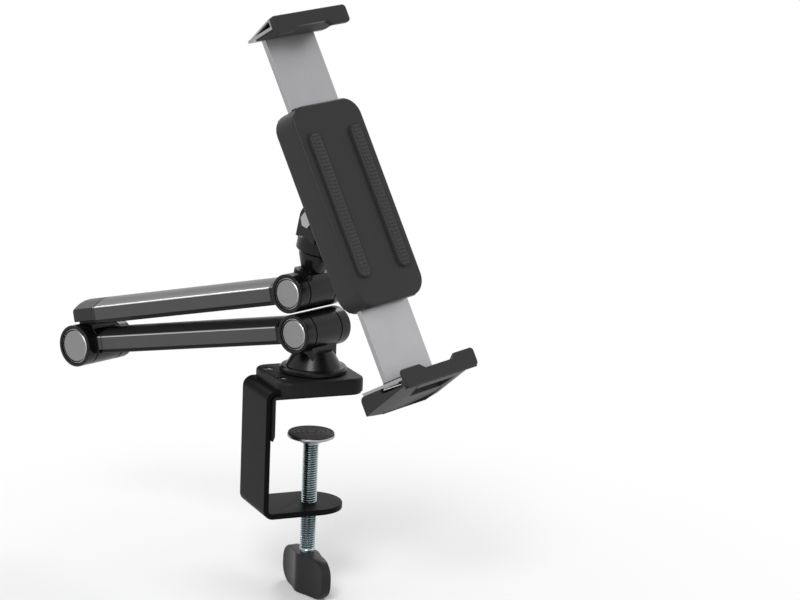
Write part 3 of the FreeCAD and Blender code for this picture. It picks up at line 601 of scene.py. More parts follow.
@dataclass(frozen=True)
class Ledge:
    """A long narrow step in a wall, which the moulded piece doesn't have.

    Attributes:
        facing: the direction that it faces, to either side.
        width: how wide it may be.
        length: how long it has to be.
        aligned: how nearly it faces that way, as a cosine.
    """

    facing: Vector
    width: float
    length: float
    aligned: float = 0.95

    def close(self, work: BMesh) -> None:
        """Welds such steps shut, so that one face bends into the next.

        Args:
            work: the mesh.
        """
        pairs = {}
        for face in work.faces:
            edges = sorted(face.edges, key=lambda e: e.calc_length())[-2:]
            length = edges[0].calc_length()
            if abs(face.normal.dot(self.facing)) < self.aligned or length < self.length:
                continue
            if face.calc_area() / length > self.width:
                continue
            edges.sort(key=lambda e: max(f.calc_area() for f in e.link_faces if f is not face))
            for vert in edges[0].verts:
                pairs[vert] = min(edges[1].verts, key=lambda v: (v.co - vert.co).length)
        bmesh.ops.weld_verts(work, targetmap=pairs)
        bmesh.ops.dissolve_degenerate(work, dist=MERGE, edges=work.edges)
        mark_creases(work)


def long_way(node: str) -> Vector:
    """The direction of a CAD node's longest edge.

    Args:
        node: the CAD node's name.

    Returns:
        A unit vector.
    """
    work = merged_copy(node)
    edge = max(work.edges, key=lambda e: e.calc_length())
    way = (edge.verts[1].co - edge.verts[0].co).normalized()
    work.free()
    return way


def claim(item: Object, node: str) -> Object:
    """Lets a finished piece stand for a CAD node and ride on its body.

    Args:
        item: the finished piece.
        node: the CAD node that it stands for.

    Returns:
        The piece.
    """
    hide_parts(node)
    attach(item, frame["nodes"][node]["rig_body"])
    return item


def paint(mesh: Mesh, *finishes: Finish) -> None:
    """Gives a mesh its materials and keeps which face has which.

    Args:
        mesh: the mesh.
        finishes: what covers it, in the order of the faces' material indices.
    """
    chosen = [min(face.material_index, len(finishes) - 1) for face in mesh.polygons]
    mesh.materials.clear()
    for finish in finishes:
        mesh.materials.append(finish.build())
    mesh.polygons.foreach_set("material_index", chosen)


def round_edges(item: Object, radius: float, segments: int) -> Object:
    """Rounds a piece's sharp edges.

    Args:
        item: the piece.
        radius: how wide each round is.
        segments: facets across it.

    Returns:
        The same piece, as plain mesh.
    """
    edge = item.modifiers.new("edges", "BEVEL")
    edge.width = radius
    edge.segments = segments
    edge.limit_method = "ANGLE"
    edge.angle_limit = BEVEL_ANGLE
    edge.harden_normals = True
    return bake(item)


def dress(node: str, slot: Slot, finish: Finish, radius: float, segments: int = 3,
          ledge: Ledge | None = None) -> Object:
    """A copy of a CAD node with rounded edges.

    Args:
        node: the CAD node's name.
        slot: the record's material slot; not used.
        finish: what covers it.
        radius: the radius of its edges.
        segments: facets across each edge.
        ledge: the kind of step that is closed, if any.

    Returns:
        The new piece.
    """
    work = merged_copy(node)
    if ledge:
        ledge.close(work)
    mesh = bpy.data.meshes.new(node + "_dressed")
    work.to_mesh(mesh)
    work.free()
    item = link(node + "_dressed", mesh)
    paint(mesh, finish)
    return claim(round_edges(item, radius, segments), node)


def stand_in(mesh: Mesh, node: str, slot: Slot, *finishes: Finish) -> Object:
    """Makes a piece of a finished mesh and lets it stand for a CAD node.

    Args:
        mesh: the piece's shape, under the piece's name.
        node: the CAD node's name.
        slot: the record's material slot; not used.
        finishes: what covers it, in the order of the faces' material indices.

    Returns:
        The new piece.
    """
    item = link(mesh.name, mesh)
    paint(mesh, *finishes)
    return claim(item, node)


def keep(node: str, finish: Finish) -> Object:
    """Leaves a CAD node's shape as it is and gives it its finish.

    Args:
        node: the CAD node's name.
        finish: what covers it.

    Returns:
        The node's own object.
    """
    item = frame["nodes"][node]
    paint(item.data, finish)
    return item


def join_loops(work: BMesh, loops: Sequence[Sequence[BMVert]], capped: bool = True) -> None:
    """Joins closed loops of points to a tube, each with the next.

    Args:
        work: the mesh that gets the faces.
        loops: its loops in order, each with as many points.
        capped: whether the first and the last loop are closed with a face.
    """
    count = len(loops[0])
    for low, high in zip(loops, loops[1:]):
        for k in range(count):
            n = (k + 1) % count
            work.faces.new((low[k], low[n], high[n], high[k]))
    if capped:
        work.faces.new(list(reversed(loops[0])))
        work.faces.new(loops[-1])


def finish_mesh(work: BMesh, name: str) -> Mesh:
    """Ends a mesh: outward normals, smooth faces and sharp creases.

    Args:
        work: the mesh, which is freed.
        name: its name.

    Returns:
        The finished mesh.
    """
    bmesh.ops.recalc_face_normals(work, faces=work.faces)
    mesh = bpy.data.meshes.new(name)
    work.to_mesh(mesh)
    work.free()
    mesh.shade_smooth()
    mesh.set_sharp_from_angle(angle=SMOOTH_ANGLE)
    return mesh


@dataclass(frozen=True)
class Ring:
    """One circle of a turned piece; flats makes it a regular polygon."""

    radius: float
    height: float
    flats: int = 0

    def at(self, angle: float) -> Vector:
        """The ring's point at an angle.

        Args:
            angle: round the piece, in radians.

        Returns:
            The point in the piece's own frame.
        """
        reach = self.radius
        if self.flats:
            step = math.tau / self.flats
            reach /= math.cos((angle + step / 2) % step - step / 2)
        return Vector((reach * math.cos(angle), reach * math.sin(angle), self.height))


def turned_mesh(name: str, rings: Sequence[Ring], columns: int = 48) -> Mesh:
    """A closed turned mesh through rings, from its bottom to its top.

    Args:
        name: the mesh's name.
        rings: the outline, in order.
        columns: points on each ring.

    Returns:
        The mesh, about its own Z axis.
    """
    work = bmesh.new()
    join_loops(work, [[work.verts.new(ring.at(math.tau * k / columns)) for k in range(columns)]
                      for ring in rings])
    return finish_mesh(work, name)


def islands(node: str) -> list[list[Vector]]:
    """The points of each separate solid in a CAD node.

    Args:
        node: the CAD node's name.

    Returns:
        One list of points for each solid.
    """
    work = merged_copy(node)
    seen: set[int] = set()
    groups = []
    work.verts.ensure_lookup_table()
    for start in work.verts:
        if start.index in seen:
            continue
        group, queue = [], [start]
        seen.add(start.index)
        while queue:
            vert = queue.pop()
            group.append(vert.co.copy())
            for edge in vert.link_edges:
                other = edge.other_vert(vert)
                if other.index not in seen:
                    seen.add(other.index)
                    queue.append(other)
        groups.append(group)
    work.free()
    return groups


# Repeats
def new_group(name: str, inputs: dict[str, str]) -> tuple[NodeTree, Node]:
    """A geometry node group with named inputs and one geometry output.

    Args:
        name: the group's name.
        inputs: an input's name to its socket type.

    Returns:
        The group and its input node.
    """
    group = bpy.data.node_groups.new(name, "GeometryNodeTree")
    group.interface.new_socket("Geometry", in_out="OUTPUT", socket_type="NodeSocketGeometry")
    group.interface.new_socket("Geometry", in_out="INPUT", socket_type="NodeSocketGeometry")
    for label, kind in inputs.items():
        group.interface.new_socket(label, in_out="INPUT", socket_type=kind)
    return group, group.nodes.new("NodeGroupInput")


def close_group(group: NodeTree, start: Node, copies: NodeSocket) -> None:
    """Realizes the copies, gives them their material and ends the group.

    Args:
        group: the group.
        start: its input node.
        copies: the instances' socket.
    """
    real = add_node(group, "GeometryNodeRealizeInstances", {0: copies})
    painted = add_node(group, "GeometryNodeSetMaterial",
                       {"Geometry": real.outputs[0], "Material": start.outputs["Material"]})
    add_node(group, "NodeGroupOutput", {0: painted.outputs[0]})


def screw_group() -> NodeTree:
    """Puts a unit screw on each point, turned by chance about its own axis.

    Returns:
        The group.
    """
    group, start = new_group("screws_on_points", {
        "Unit": "NodeSocketObject", "Axis": "NodeSocketRotation", "Largest Turn": "NodeSocketFloat",
        "Seed": "NodeSocketInt", "Material": "NodeSocketMaterial"})
    unit = add_node(group, "GeometryNodeObjectInfo", {"Object": start.outputs["Unit"]})
    chance = add_node(group, "FunctionNodeRandomValue",
                      {"Seed": start.outputs["Seed"], 3: start.outputs["Largest Turn"]}, data_type="FLOAT")
    spin = add_node(group, "ShaderNodeCombineXYZ", {"Z": chance.outputs[1]})
    spin_turn = add_node(group, "FunctionNodeEulerToRotation", {0: spin.outputs[0]})
    turn = add_node(group, "FunctionNodeRotateRotation",
                    {"Rotation": start.outputs["Axis"], "Rotate By": spin_turn.outputs[0]},
                    rotation_space="LOCAL")
    copies = add_node(group, "GeometryNodeInstanceOnPoints",
                      {"Points": start.outputs["Geometry"], "Instance": unit.outputs["Geometry"],
                       "Rotation": turn.outputs[0]})
    close_group(group, start, copies.outputs[0])
    return group


def rib_group() -> NodeTree:
    """Repeats the object's own mesh along a straight row.

    Returns:
        The group.
    """
    group, start = new_group("ribs_in_a_row", {
        "Count": "NodeSocketInt", "Start": "NodeSocketVector", "Step": "NodeSocketVector",
        "Material": "NodeSocketMaterial"})
    row = add_node(group, "GeometryNodeMeshLine",
                   {"Count": start.outputs["Count"], "Start Location": start.outputs["Start"],
                    "Offset": start.outputs["Step"]})
    copies = add_node(group, "GeometryNodeInstanceOnPoints",
                      {"Points": row.outputs[0], "Instance": start.outputs["Geometry"]})
    close_group(group, start, copies.outputs[0])
    return group


def run_group(item: Object, group: NodeTree, values: dict[str, object]) -> Object:
    """Runs a geometry node group on an object and keeps the result as plain mesh.

    Args:
        item: the object whose mesh goes in.
        group: the node group.
        values: input name to value.

    Returns:
        The object with its new mesh.
    """
    modifier = item.modifiers.new(group.name, "NODES")
    modifier.node_group = group
    named = {entry.name: entry.identifier for entry in group.interface.items_tree
             if entry.item_type == "SOCKET" and entry.in_out == "INPUT"}
    for name, value in values.items():
        modifier[named[name]] = value
    return bake(item)


@dataclass
class ScrewSet:
    """Cap screws of one size, with a chamfered head and a hexagon socket.

    Attributes:
        node: the CAD node that holds them.
        axes: a frame with Z from tip to head.
        head_radius: the head's edge.
        head_height: from its seat to its top.
        shank_radius: the shank's.
        socket: from the socket's middle to a flat.
        group: the node group that puts a screw on each point.
        seed: for the turn of each.
        largest_turn: how far one is turned at most, a sixth of a turn for six flats.
        flats: the socket's.
        head_chamfer: share of the head's height that is bevelled.
        tip_share: the tip's radius as a share of the shank's.
        mouth: how much wider the socket's bevelled mouth is.
        mouth_depth: how deep that bevel goes.
        socket_depth: the flats' depth as a share of the head's height.
        drill_depth: the drilled point's.
        drill_share: the drilled point's radius as a share of the socket's.
    """

    node: str
    axes: Axes
    head_radius: float
    head_height: float
    shank_radius: float
    socket: float
    group: NodeTree
    seed: int = 7
    largest_turn: float = math.radians(60)
    flats: int = 6
    head_chamfer: float = 0.12
    tip_share: float = 0.7
    mouth: float = 0.12 * MM
    mouth_depth: float = 0.15 * MM
    socket_depth: float = 0.62
    drill_depth: float = 0.75
    drill_share: float = 0.3

    def build(self) -> Object:
        """Makes the screws.

        Returns:
            One piece with every screw of the node.
        """
        spots = [Extent.of(points, self.axes) for points in islands(self.node)]
        unit_name = self.node + "_unit"
        unit = link(unit_name, turned_mesh(unit_name, self.outline(spots[0].size.z)))
        stood = self.axes.matrix()
        mesh = bpy.data.meshes.new(self.node + "_cut")
        mesh.from_pydata([stood @ Vector((s.middle.x, s.middle.y, s.low.z)) for s in spots], [], [])
        item = link(self.node + "_cut", mesh)
        run_group(item, self.group, {"Unit": unit, "Axis": stood.to_euler(), "Seed": self.seed,
                                     "Largest Turn": self.largest_turn, "Material": STEEL.build()})
        bpy.data.objects.remove(unit)
        return claim(item, self.node)

    def outline(self, length: float) -> list[Ring]:
        """The rings of one screw, from its tip to the bottom of its socket.

        Args:
            length: the whole screw's.

        Returns:
            The rings.
        """
        chamfer = self.head_chamfer * self.head_height
        seat = length - self.head_height
        return [Ring(self.shank_radius * self.tip_share, 0),
                Ring(self.shank_radius, self.shank_radius * (1 - self.tip_share)),
                Ring(self.shank_radius, seat),
                Ring(self.head_radius, seat),
                Ring(self.head_radius, length - chamfer),
                Ring(self.head_radius - chamfer, length),
                Ring(self.socket + self.mouth, length, self.flats),
                Ring(self.socket, length - self.mouth_depth, self.flats),
                Ring(self.socket, length - self.socket_depth * self.head_height, self.flats),
                Ring(self.socket * self.drill_share, length - self.drill_depth * self.head_height)]


@dataclass
class RibbedPad:
    """Rubber pads with a row of half-round ribs, whose tops lie where the plain pad's face lay.

    Attributes:
        node: the CAD node that holds them.
        axes: a frame with Y along the row and Z out of the pads.
        group: the node group that repeats a rib.
        pitch: from rib to rib.
        height: of a rib above the pad.
        margin: from the pad's edge to the ribs.
        width_share: half a rib's width as a share of the pitch.
        sunk: how deep its foot stands in the pad.
        arc_steps: facets over its back.
    """

    node: str
    axes: Axes
    group: NodeTree
    pitch: float = 2.4 * MM
    height: float = 0.45 * MM
    margin: float = 1.4 * MM
    width_share: float = 0.32
    sunk: float = 0.2 * MM
    arc_steps: int = 6

    def build(self) -> Object:
        """Makes the pads.

        Returns:
            One piece for the node.
        """
        work = merged_copy(self.node)
        top = Extent.of([v.co for v in work.verts], self.axes).high.z
        for vert in work.verts:
            if self.axes.local(vert.co).z > top - self.height:
                vert.co -= self.axes.z * self.height
        for points in islands(self.node):
            face = [p for p in points if self.axes.local(p).z > top - self.height]
            self.add_ribs(work, Extent.of(face, self.axes), top)
        return stand_in(finish_mesh(work, self.node + "_ribbed"), self.node, Slot.RUBBER, RUBBER)

    def add_ribs(self, work: BMesh, extent: Extent, top: float) -> None:
        """Adds one pad's ribs to the mesh.

        Args:
            work: the mesh that gets them.
            extent: the pad's face in the pads' frame.
            top: the height of the ribs' tops.
        """
        count = int((extent.size.y - 2 * self.margin) // self.pitch) + 1
        first = extent.middle.y - (count - 1) * self.pitch / 2
        item = link("rib", self.unit_rib(extent.size.x / 2 - self.margin))
        run_group(item, self.group, {"Count": count, "Step": Vector((0, self.pitch, 0)),
                                     "Start": Vector((extent.middle.x, first, top - self.height)),
                                     "Material": RUBBER.build()})
        item.data.transform(self.axes.matrix())
        work.from_mesh(item.data)
        bpy.data.objects.remove(item)

    def unit_rib(self, half: float) -> Mesh:
        """A rib along X with a rounded back, its foot sunk in the pad.

        Args:
            half: half its length.

        Returns:
            The rib's mesh.
        """
        work = bmesh.new()
        wide = self.pitch * self.width_share
        angles = [math.pi * k / self.arc_steps for k in range(self.arc_steps + 1)]
        back = [(wide * math.cos(angle), self.height * math.sin(angle)) for angle in angles]
        outline = [(wide, -self.sunk)] + back + [(-wide, -self.sunk)]
        join_loops(work, [[work.verts.new((x, y, z)) for y, z in outline] for x in (-half, half)])
        return finish_mesh(work, "rib")


# Sub-assemblies
class Assembly(ABC):
    """Pieces that belong together and are made in one go."""

    @abstractmethod
    def build(self) -> list[Object]:
        """Makes the pieces and returns them."""


@dataclass
class Clamp(Assembly):
    """The bent bar, its liner, and the cover with its two screws and the swivel's pin."""

    screws: NodeTree
    bar_edge: float = 0.45 * MM
    cover_edge: float = 0.3 * MM
    head_radius: float = 3.2 * MM
    head_height: float = 2.2 * MM
    shank_radius: float = 1.6 * MM
    socket: float = 1.25 * MM

    def build(self) -> list[Object]:
        """Makes the clamp's pieces.

        Returns:
            The pieces.
        """
        return [dress("clamp_strap", Slot.STRAP, POWDER, self.bar_edge),
                dress("edge_liner", Slot.MOULDING, PLASTIC, self.cover_edge),
                dress("base_cover", Slot.MOULDING, PLASTIC, self.cover_edge),
                ScrewSet("base_screws", Axes.along(Vector(), UP, ACROSS), self.head_radius,
                         self.head_height, self.shank_radius, self.socket, self.screws).build(),
                keep("swivel_spigot", STEEL),
                keep("swivel_washer", ACETAL)]


@dataclass
class Jack(Assembly):
    """The clamp's screw with its thread, and its foot with the ringed pad.

    Attributes:
        outer: the thread's crest.
        depth: from crest to root.
        pitch: from crest to crest.
        crest_share: the flat crest as a share of half the pitch.
        slope_share: the flank's share of it.
        columns: points round the screw.
        rows: rings of points for each turn.
        neck: the plain neck's radius.
        neck_length: how far it stands out of the knob.
        neck_step: from the neck to the thread's first ring.
        tip: the plain tip's radius.
        tip_chamfer: its bevel.
        foot_gap: from the foot to the thread's end.
        foot_edge: the round on the foot's edges.
        ring_pitch: from groove to groove in the pad.
        groove: a groove's depth.
        pad_edge: the bevels of the pad's lower and upper edge.
        pole: the radius of the pad's middle ring.
    """

    outer: float = 5.0 * MM
    depth: float = 0.85 * MM
    pitch: float = 1.5 * MM
    crest_share: float = 0.12
    slope_share: float = 0.76
    columns: int = 48
    rows: int = 10
    neck: float = 4.4 * MM
    neck_length: float = 2.5 * MM
    neck_step: float = 0.05 * MM
    tip: float = 3.5 * MM
    tip_chamfer: float = 0.5 * MM
    foot_gap: float = 0.1 * MM
    foot_edge: float = 0.25 * MM
    ring_pitch: float = 3.0 * MM
    groove: float = 0.4 * MM
    pad_edge: tuple[float, float] = (0.3 * MM, 0.4 * MM)
    pole: float = 0.5 * MM

    def build(self) -> list[Object]:
        """Makes the screw's pieces and returns them."""
        return [dress("pressure_foot", Slot.STEEL, STEEL, self.foot_edge), self.thread(), self.foot_pad()]

    def radius_at(self, height: float, angle: float, low: float, high: float) -> float:
        """The thread's radius at a height and an angle.

        Args:
            height: along the screw, upwards.
            angle: round the screw.
            low: where the thread starts.
            high: where it ends.

        Returns:
            The radius in metres.
        """
        phase = (height / self.pitch - angle / math.tau) % 1.0
        ridge = abs(phase - 0.5) * 2
        cut = min(1.0, max(0.0, (ridge - self.crest_share) / self.slope_share))
        fade = min(1.0, (height - low) / self.pitch, (high - height) / self.pitch)
        return self.outer - self.depth * cut * max(0.0, fade)

    def thread(self) -> Object:
        """The screw with its helical thread, smooth tip and smooth neck.

        Returns:
            The piece.
        """
        low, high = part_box("clamp_screw")
        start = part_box("wing_knob")[1].z + self.neck_length
        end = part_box("pressure_foot")[0].z - self.foot_gap
        count = int((end - start) / self.pitch * self.rows)
        rows: list[tuple[float, float | None]] = [(low.z, self.neck), (start, self.neck),
                                                  (start + self.neck_step, None)]
        rows += [(start + (end - start) * k / count, None) for k in range(1, count)]
        rows += [(end, self.tip), (high.z - self.tip_chamfer, self.tip),
                 (high.z, self.tip - self.tip_chamfer)]
        work = bmesh.new()
        loops = []
        for height, plain in rows:
            loop = []
            for k in range(self.columns):
                angle = math.tau * k / self.columns
                reach = plain if plain is not None else self.radius_at(height, angle, start, end)
                loop.append(work.verts.new((reach * math.cos(angle), reach * math.sin(angle), height)))
            loops.append(loop)
        join_loops(work, loops)
        return stand_in(finish_mesh(work, "clamp_screw_threaded"), "clamp_screw", Slot.ZINC, ZINC)

    def foot_pad(self) -> Object:
        """The round rubber face with rings of grip round its middle.

        Returns:
            The piece.
        """
        low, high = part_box("foot_pad")
        radius = (high.x - low.x) / 2
        under, over = self.pad_edge
        rings = [Ring(radius - under, low.z), Ring(radius, low.z + under), Ring(radius, high.z - over),
                 Ring(radius - over, high.z)]
        # Each groove's flanks slope by half its depth, and its floor is half as wide again as it is deep
        reach = radius - self.ring_pitch / 2
        while reach > self.ring_pitch:
            rings += [Ring(reach, high.z), Ring(reach - self.groove / 2, high.z - self.groove),
                      Ring(reach - self.groove * 2, high.z - self.groove),
                      Ring(reach - self.groove * 2.5, high.z)]
            reach -= self.ring_pitch
        rings.append(Ring(self.pole, high.z))
        return stand_in(turned_mesh("foot_pad_ringed", rings), "foot_pad", Slot.RUBBER, RUBBER)


@dataclass
class Knob(Assembly):
    """The thumb wing: two lobes with hollow flanks that swell to a ridge at the hub.

    Attributes:
        turn: of its length about the screw.
        tip: its thickness at the ends.
        corner: the radius of its outline's corners.
        least_corner: the same for the innermost loop of a flank.
        edge: the round where flank and rim meet.
        slit: half the width of a flank's middle strip.
        rim: the first flat loop's inset, in widths of the edge.
        ridge: how broad the ridge is, as a share of half the length.
        hollow: how fast the flank falls away from the ridge.
        arc_steps: facets round a corner.
        edge_steps: facets over the edge.
        flank_steps: loops from the edge to the flank's middle.
        run_steps: facets along a straight side.
    """

    turn: float = math.radians(-83)
    tip: float = 6.4 * MM
    corner: float = 10.5 * MM
    least_corner: float = 0.1 * MM
    edge: float = 0.9 * MM
    slit: float = 0.3 * MM
    rim: float = 1.3
    ridge: float = 0.13
    hollow: float = 2.6
    arc_steps: int = 12
    edge_steps: int = 5
    flank_steps: int = 8
    run_steps: int = 24

    def build(self) -> list[Object]:
        """Makes the knob.

        Returns:
            The one piece.
        """
        axes = Axes.along(Vector(), UP, Vector((math.cos(self.turn), math.sin(self.turn), 0)))
        extent = Extent.of([v.co for v in frame["nodes"]["wing_knob"].data.vertices], axes)
        half = extent.size / 2
        steps = self.steps(half.z)
        rings = [self.ring(half, inset, back, 1) for inset, back in steps]
        rings += [self.ring(half, inset, back, -1) for inset, back in reversed(steps)]
        work = bmesh.new()
        loops = [[work.verts.new(p + extent.middle) for p in ring] for ring in rings]
        join_loops(work, loops, capped=False)
        self.close(work, loops[0])
        self.close(work, loops[-1])
        mesh = finish_mesh(work, "wing_knob_shaped")
        mesh.transform(axes.matrix())
        return [stand_in(mesh, "wing_knob", Slot.KNOB, KNOB_PLASTIC)]

    def close(self, work: BMesh, loop: Sequence[BMVert]) -> None:
        """Fills the slit in the middle of a flank with a strip of quads.

        Args:
            work: the knob's mesh.
            loop: the innermost loop, whose two runs mirror each other.
        """
        low, high = 0, len(loop) - 1
        while high - low > 2:
            work.faces.new((loop[low], loop[low + 1], loop[high - 1], loop[high]))
            low, high = low + 1, high - 1

    def steps(self, half_height: float) -> list[tuple[float, float]]:
        """How the loops of a flank follow each other, from its middle to its rim.

        Args:
            half_height: half the knob's height.

        Returns:
            Pairs of inset from the outline and drop from the flank.
        """
        middle = half_height - self.slit
        rim = self.edge * self.rim
        count = self.flank_steps
        flat = [(middle * (1 - k / count) + rim * k / count, 0.0) for k in range(count + 1)]
        arc = [math.pi / 2 * k / self.edge_steps for k in range(self.edge_steps + 1)]
        return flat + [(self.edge * (1 - math.sin(a)), self.edge * (1 - math.cos(a))) for a in arc]

    def ring(self, half: Vector, inset: float, back: float, side: int) -> list[Vector]:
        """One loop of the outline, moved in and back.

        Args:
            half: half the knob's length, its thickness at the hub, and its height.
            inset: how far inside the outline the loop lies.
            back: how far behind the flank it lies.
            side: 1 for the front flank, -1 for the back.

        Returns:
            The loop's points about the knob's middle.
        """
        round_by = max(self.corner - inset, self.least_corner)
        wide, tall = half.x - inset - round_by, max(half.z - inset - round_by, 0.0)
        points = []
        for quarter, (sx, sz) in enumerate(((1, 1), (-1, 1), (-1, -1), (1, -1))):
            for k in range(self.arc_steps + 1):
                angle = math.pi / 2 * (quarter + k / self.arc_steps)
                points.append((sx * wide + round_by * math.cos(angle),
                               sz * tall + round_by * math.sin(angle)))
            if quarter in (0, 2):
                points += self.straight(sx * wide, sz * (tall + round_by))
        return [Vector((x, side * (self.thickness(abs(x) / half.x, half.y) - back), z)) for x, z in points]

    def straight(self, start: float, height: float) -> list[tuple[float, float]]:
        """Points along the upper or lower run, from one corner to the other."""
        return [(start * (1 - 2 * k / self.run_steps), height) for k in range(1, self.run_steps)]

    def thickness(self, share: float, hub: float) -> float:
        """Half the wing's thickness.

        Args:
            share: how far from the hub to the tip.
            hub: half the thickness at the hub.

        Returns:
            Half the thickness there.
        """
        reach = math.sqrt(share * share + self.ridge * self.ridge)
        swell = max(0.0, 1 + self.ridge - reach) ** self.hollow
        return self.tip / 2 + (hub - self.tip / 2) * swell


@dataclass
class Hinge(Assembly):
    """One friction hinge: casting, pin, nut, washers and two discs.

    Attributes:
        prefix: the start of its nodes' names.
        pivot: its joint.
        edge: the round on the casting's edges.
        edge_segments: facets across it.
        gap: between a disc and the casting.
        dome: how much a disc's middle stands out.
        rim: from the edge to the groove, a ring with a painted highlight.
        groove: from the edge to the groove's inner side.
        chamfer: from the edge to the chamfer's inner side.
        relief: the small bevels at the rim.
        groove_depth: the groove's.
        drop: the chamfer's depth; the chamfer has a painted highlight.
        pole: the radius of a disc's middle ring.
        dome_steps: rings from the chamfer to the middle.
        columns: points round a disc.
    """

    prefix: str
    pivot: str
    edge: float = 0.6 * MM
    edge_segments: int = 4
    gap: float = 0.15 * MM
    dome: float = 0.5 * MM
    rim: float = 0.5 * MM
    groove: float = 1.0 * MM
    chamfer: float = 1.55 * MM
    relief: float = 0.2 * MM
    groove_depth: float = 0.8 * MM
    drop: float = 0.35 * MM
    pole: float = 0.1 * MM
    dome_steps: int = 8
    columns: int = 96

    def build(self) -> list[Object]:
        """Makes the hinge's pieces.

        Returns:
            The pieces.
        """
        return [dress(self.prefix + "_fork", Slot.CAST, CAST, self.edge, self.edge_segments),
                keep(self.prefix + "_pin", STEEL),
                keep(self.prefix + "_nut", STEEL),
                keep(self.prefix + "_washers", ACETAL),
                self.discs()]

    def discs(self) -> Object:
        """The two grey discs: a rim and a chamfer in pale metal that paints their highlights, a groove in
        black that paints its shade, and a faced middle.

        Returns:
            One piece for both.
        """
        centre = joint_point(self.pivot)
        node = self.prefix + "_caps"
        work = bmesh.new()
        for points in islands(node):
            side = 1 if (points[0] - centre).dot(ACROSS) > 0 else -1
            axes = Axes.along(centre, ACROSS * side, UP)
            extent = Extent.of(points, axes)
            radius = extent.size.x / 2 - self.gap
            mesh = self.disc(radius, extent.low.z, extent.high.z)
            self.mark(mesh, radius)
            mesh.transform(axes.matrix())
            work.from_mesh(mesh)
            bpy.data.meshes.remove(mesh)
        # The second finish paints highlights on the rims and chamfers, the third paints shade in the
        # grooves
        return stand_in(finish_mesh(work, node + "_faced"), node, Slot.DISC,
                        disc_metal(self.prefix, centre), EDGE_METAL_AND_HIGHLIGHT, CAST)

    def disc(self, radius: float, low: float, high: float) -> Mesh:
        """One disc about Z.

        Args:
            radius: its edge.
            low: its inner face.
            high: the top of its dome.

        Returns:
            The mesh.
        """
        def crown(reach: float) -> float:
            """The dome's height at a distance from the middle."""
            return high - self.dome * (reach / radius) ** 2

        land, foot, lift = radius - self.rim, radius - self.groove, radius - self.chamfer
        rings = [Ring(radius, low),
                 Ring(radius, crown(radius) - self.relief),
                 Ring(radius - self.relief, crown(radius)),
                 Ring(land, crown(land)),
                 Ring(land - self.relief, crown(land) - self.groove_depth),
                 Ring(foot, crown(foot) - self.groove_depth),
                 Ring(foot - self.relief / 2, crown(foot) - self.drop),
                 Ring(lift, crown(lift))]
        for k in range(1, self.dome_steps):
            reach = lift * (1 - k / self.dome_steps)
            rings.append(Ring(reach, crown(reach)))
        rings.append(Ring(self.pole, high))
        return turned_mesh("disc", rings, self.columns)

    def mark(self, mesh: Mesh, radius: float) -> None:
        """Sets which faces of a disc get pale metal as a painted highlight, on the rim and the chamfer,
        and which get black as painted shade in the groove.

        Args:
            mesh: the disc about Z.
            radius: its edge.
        """
        for face in mesh.polygons:
            reach = sum(mesh.vertices[v].co.xy.length for v in face.vertices) / len(face.vertices)
            inset = radius - reach
            if inset < self.rim or self.groove < inset < self.chamfer:
                face.material_index = Layer.BRIGHT.value
            elif inset < self.groove:
                face.material_index = Layer.DARK.value


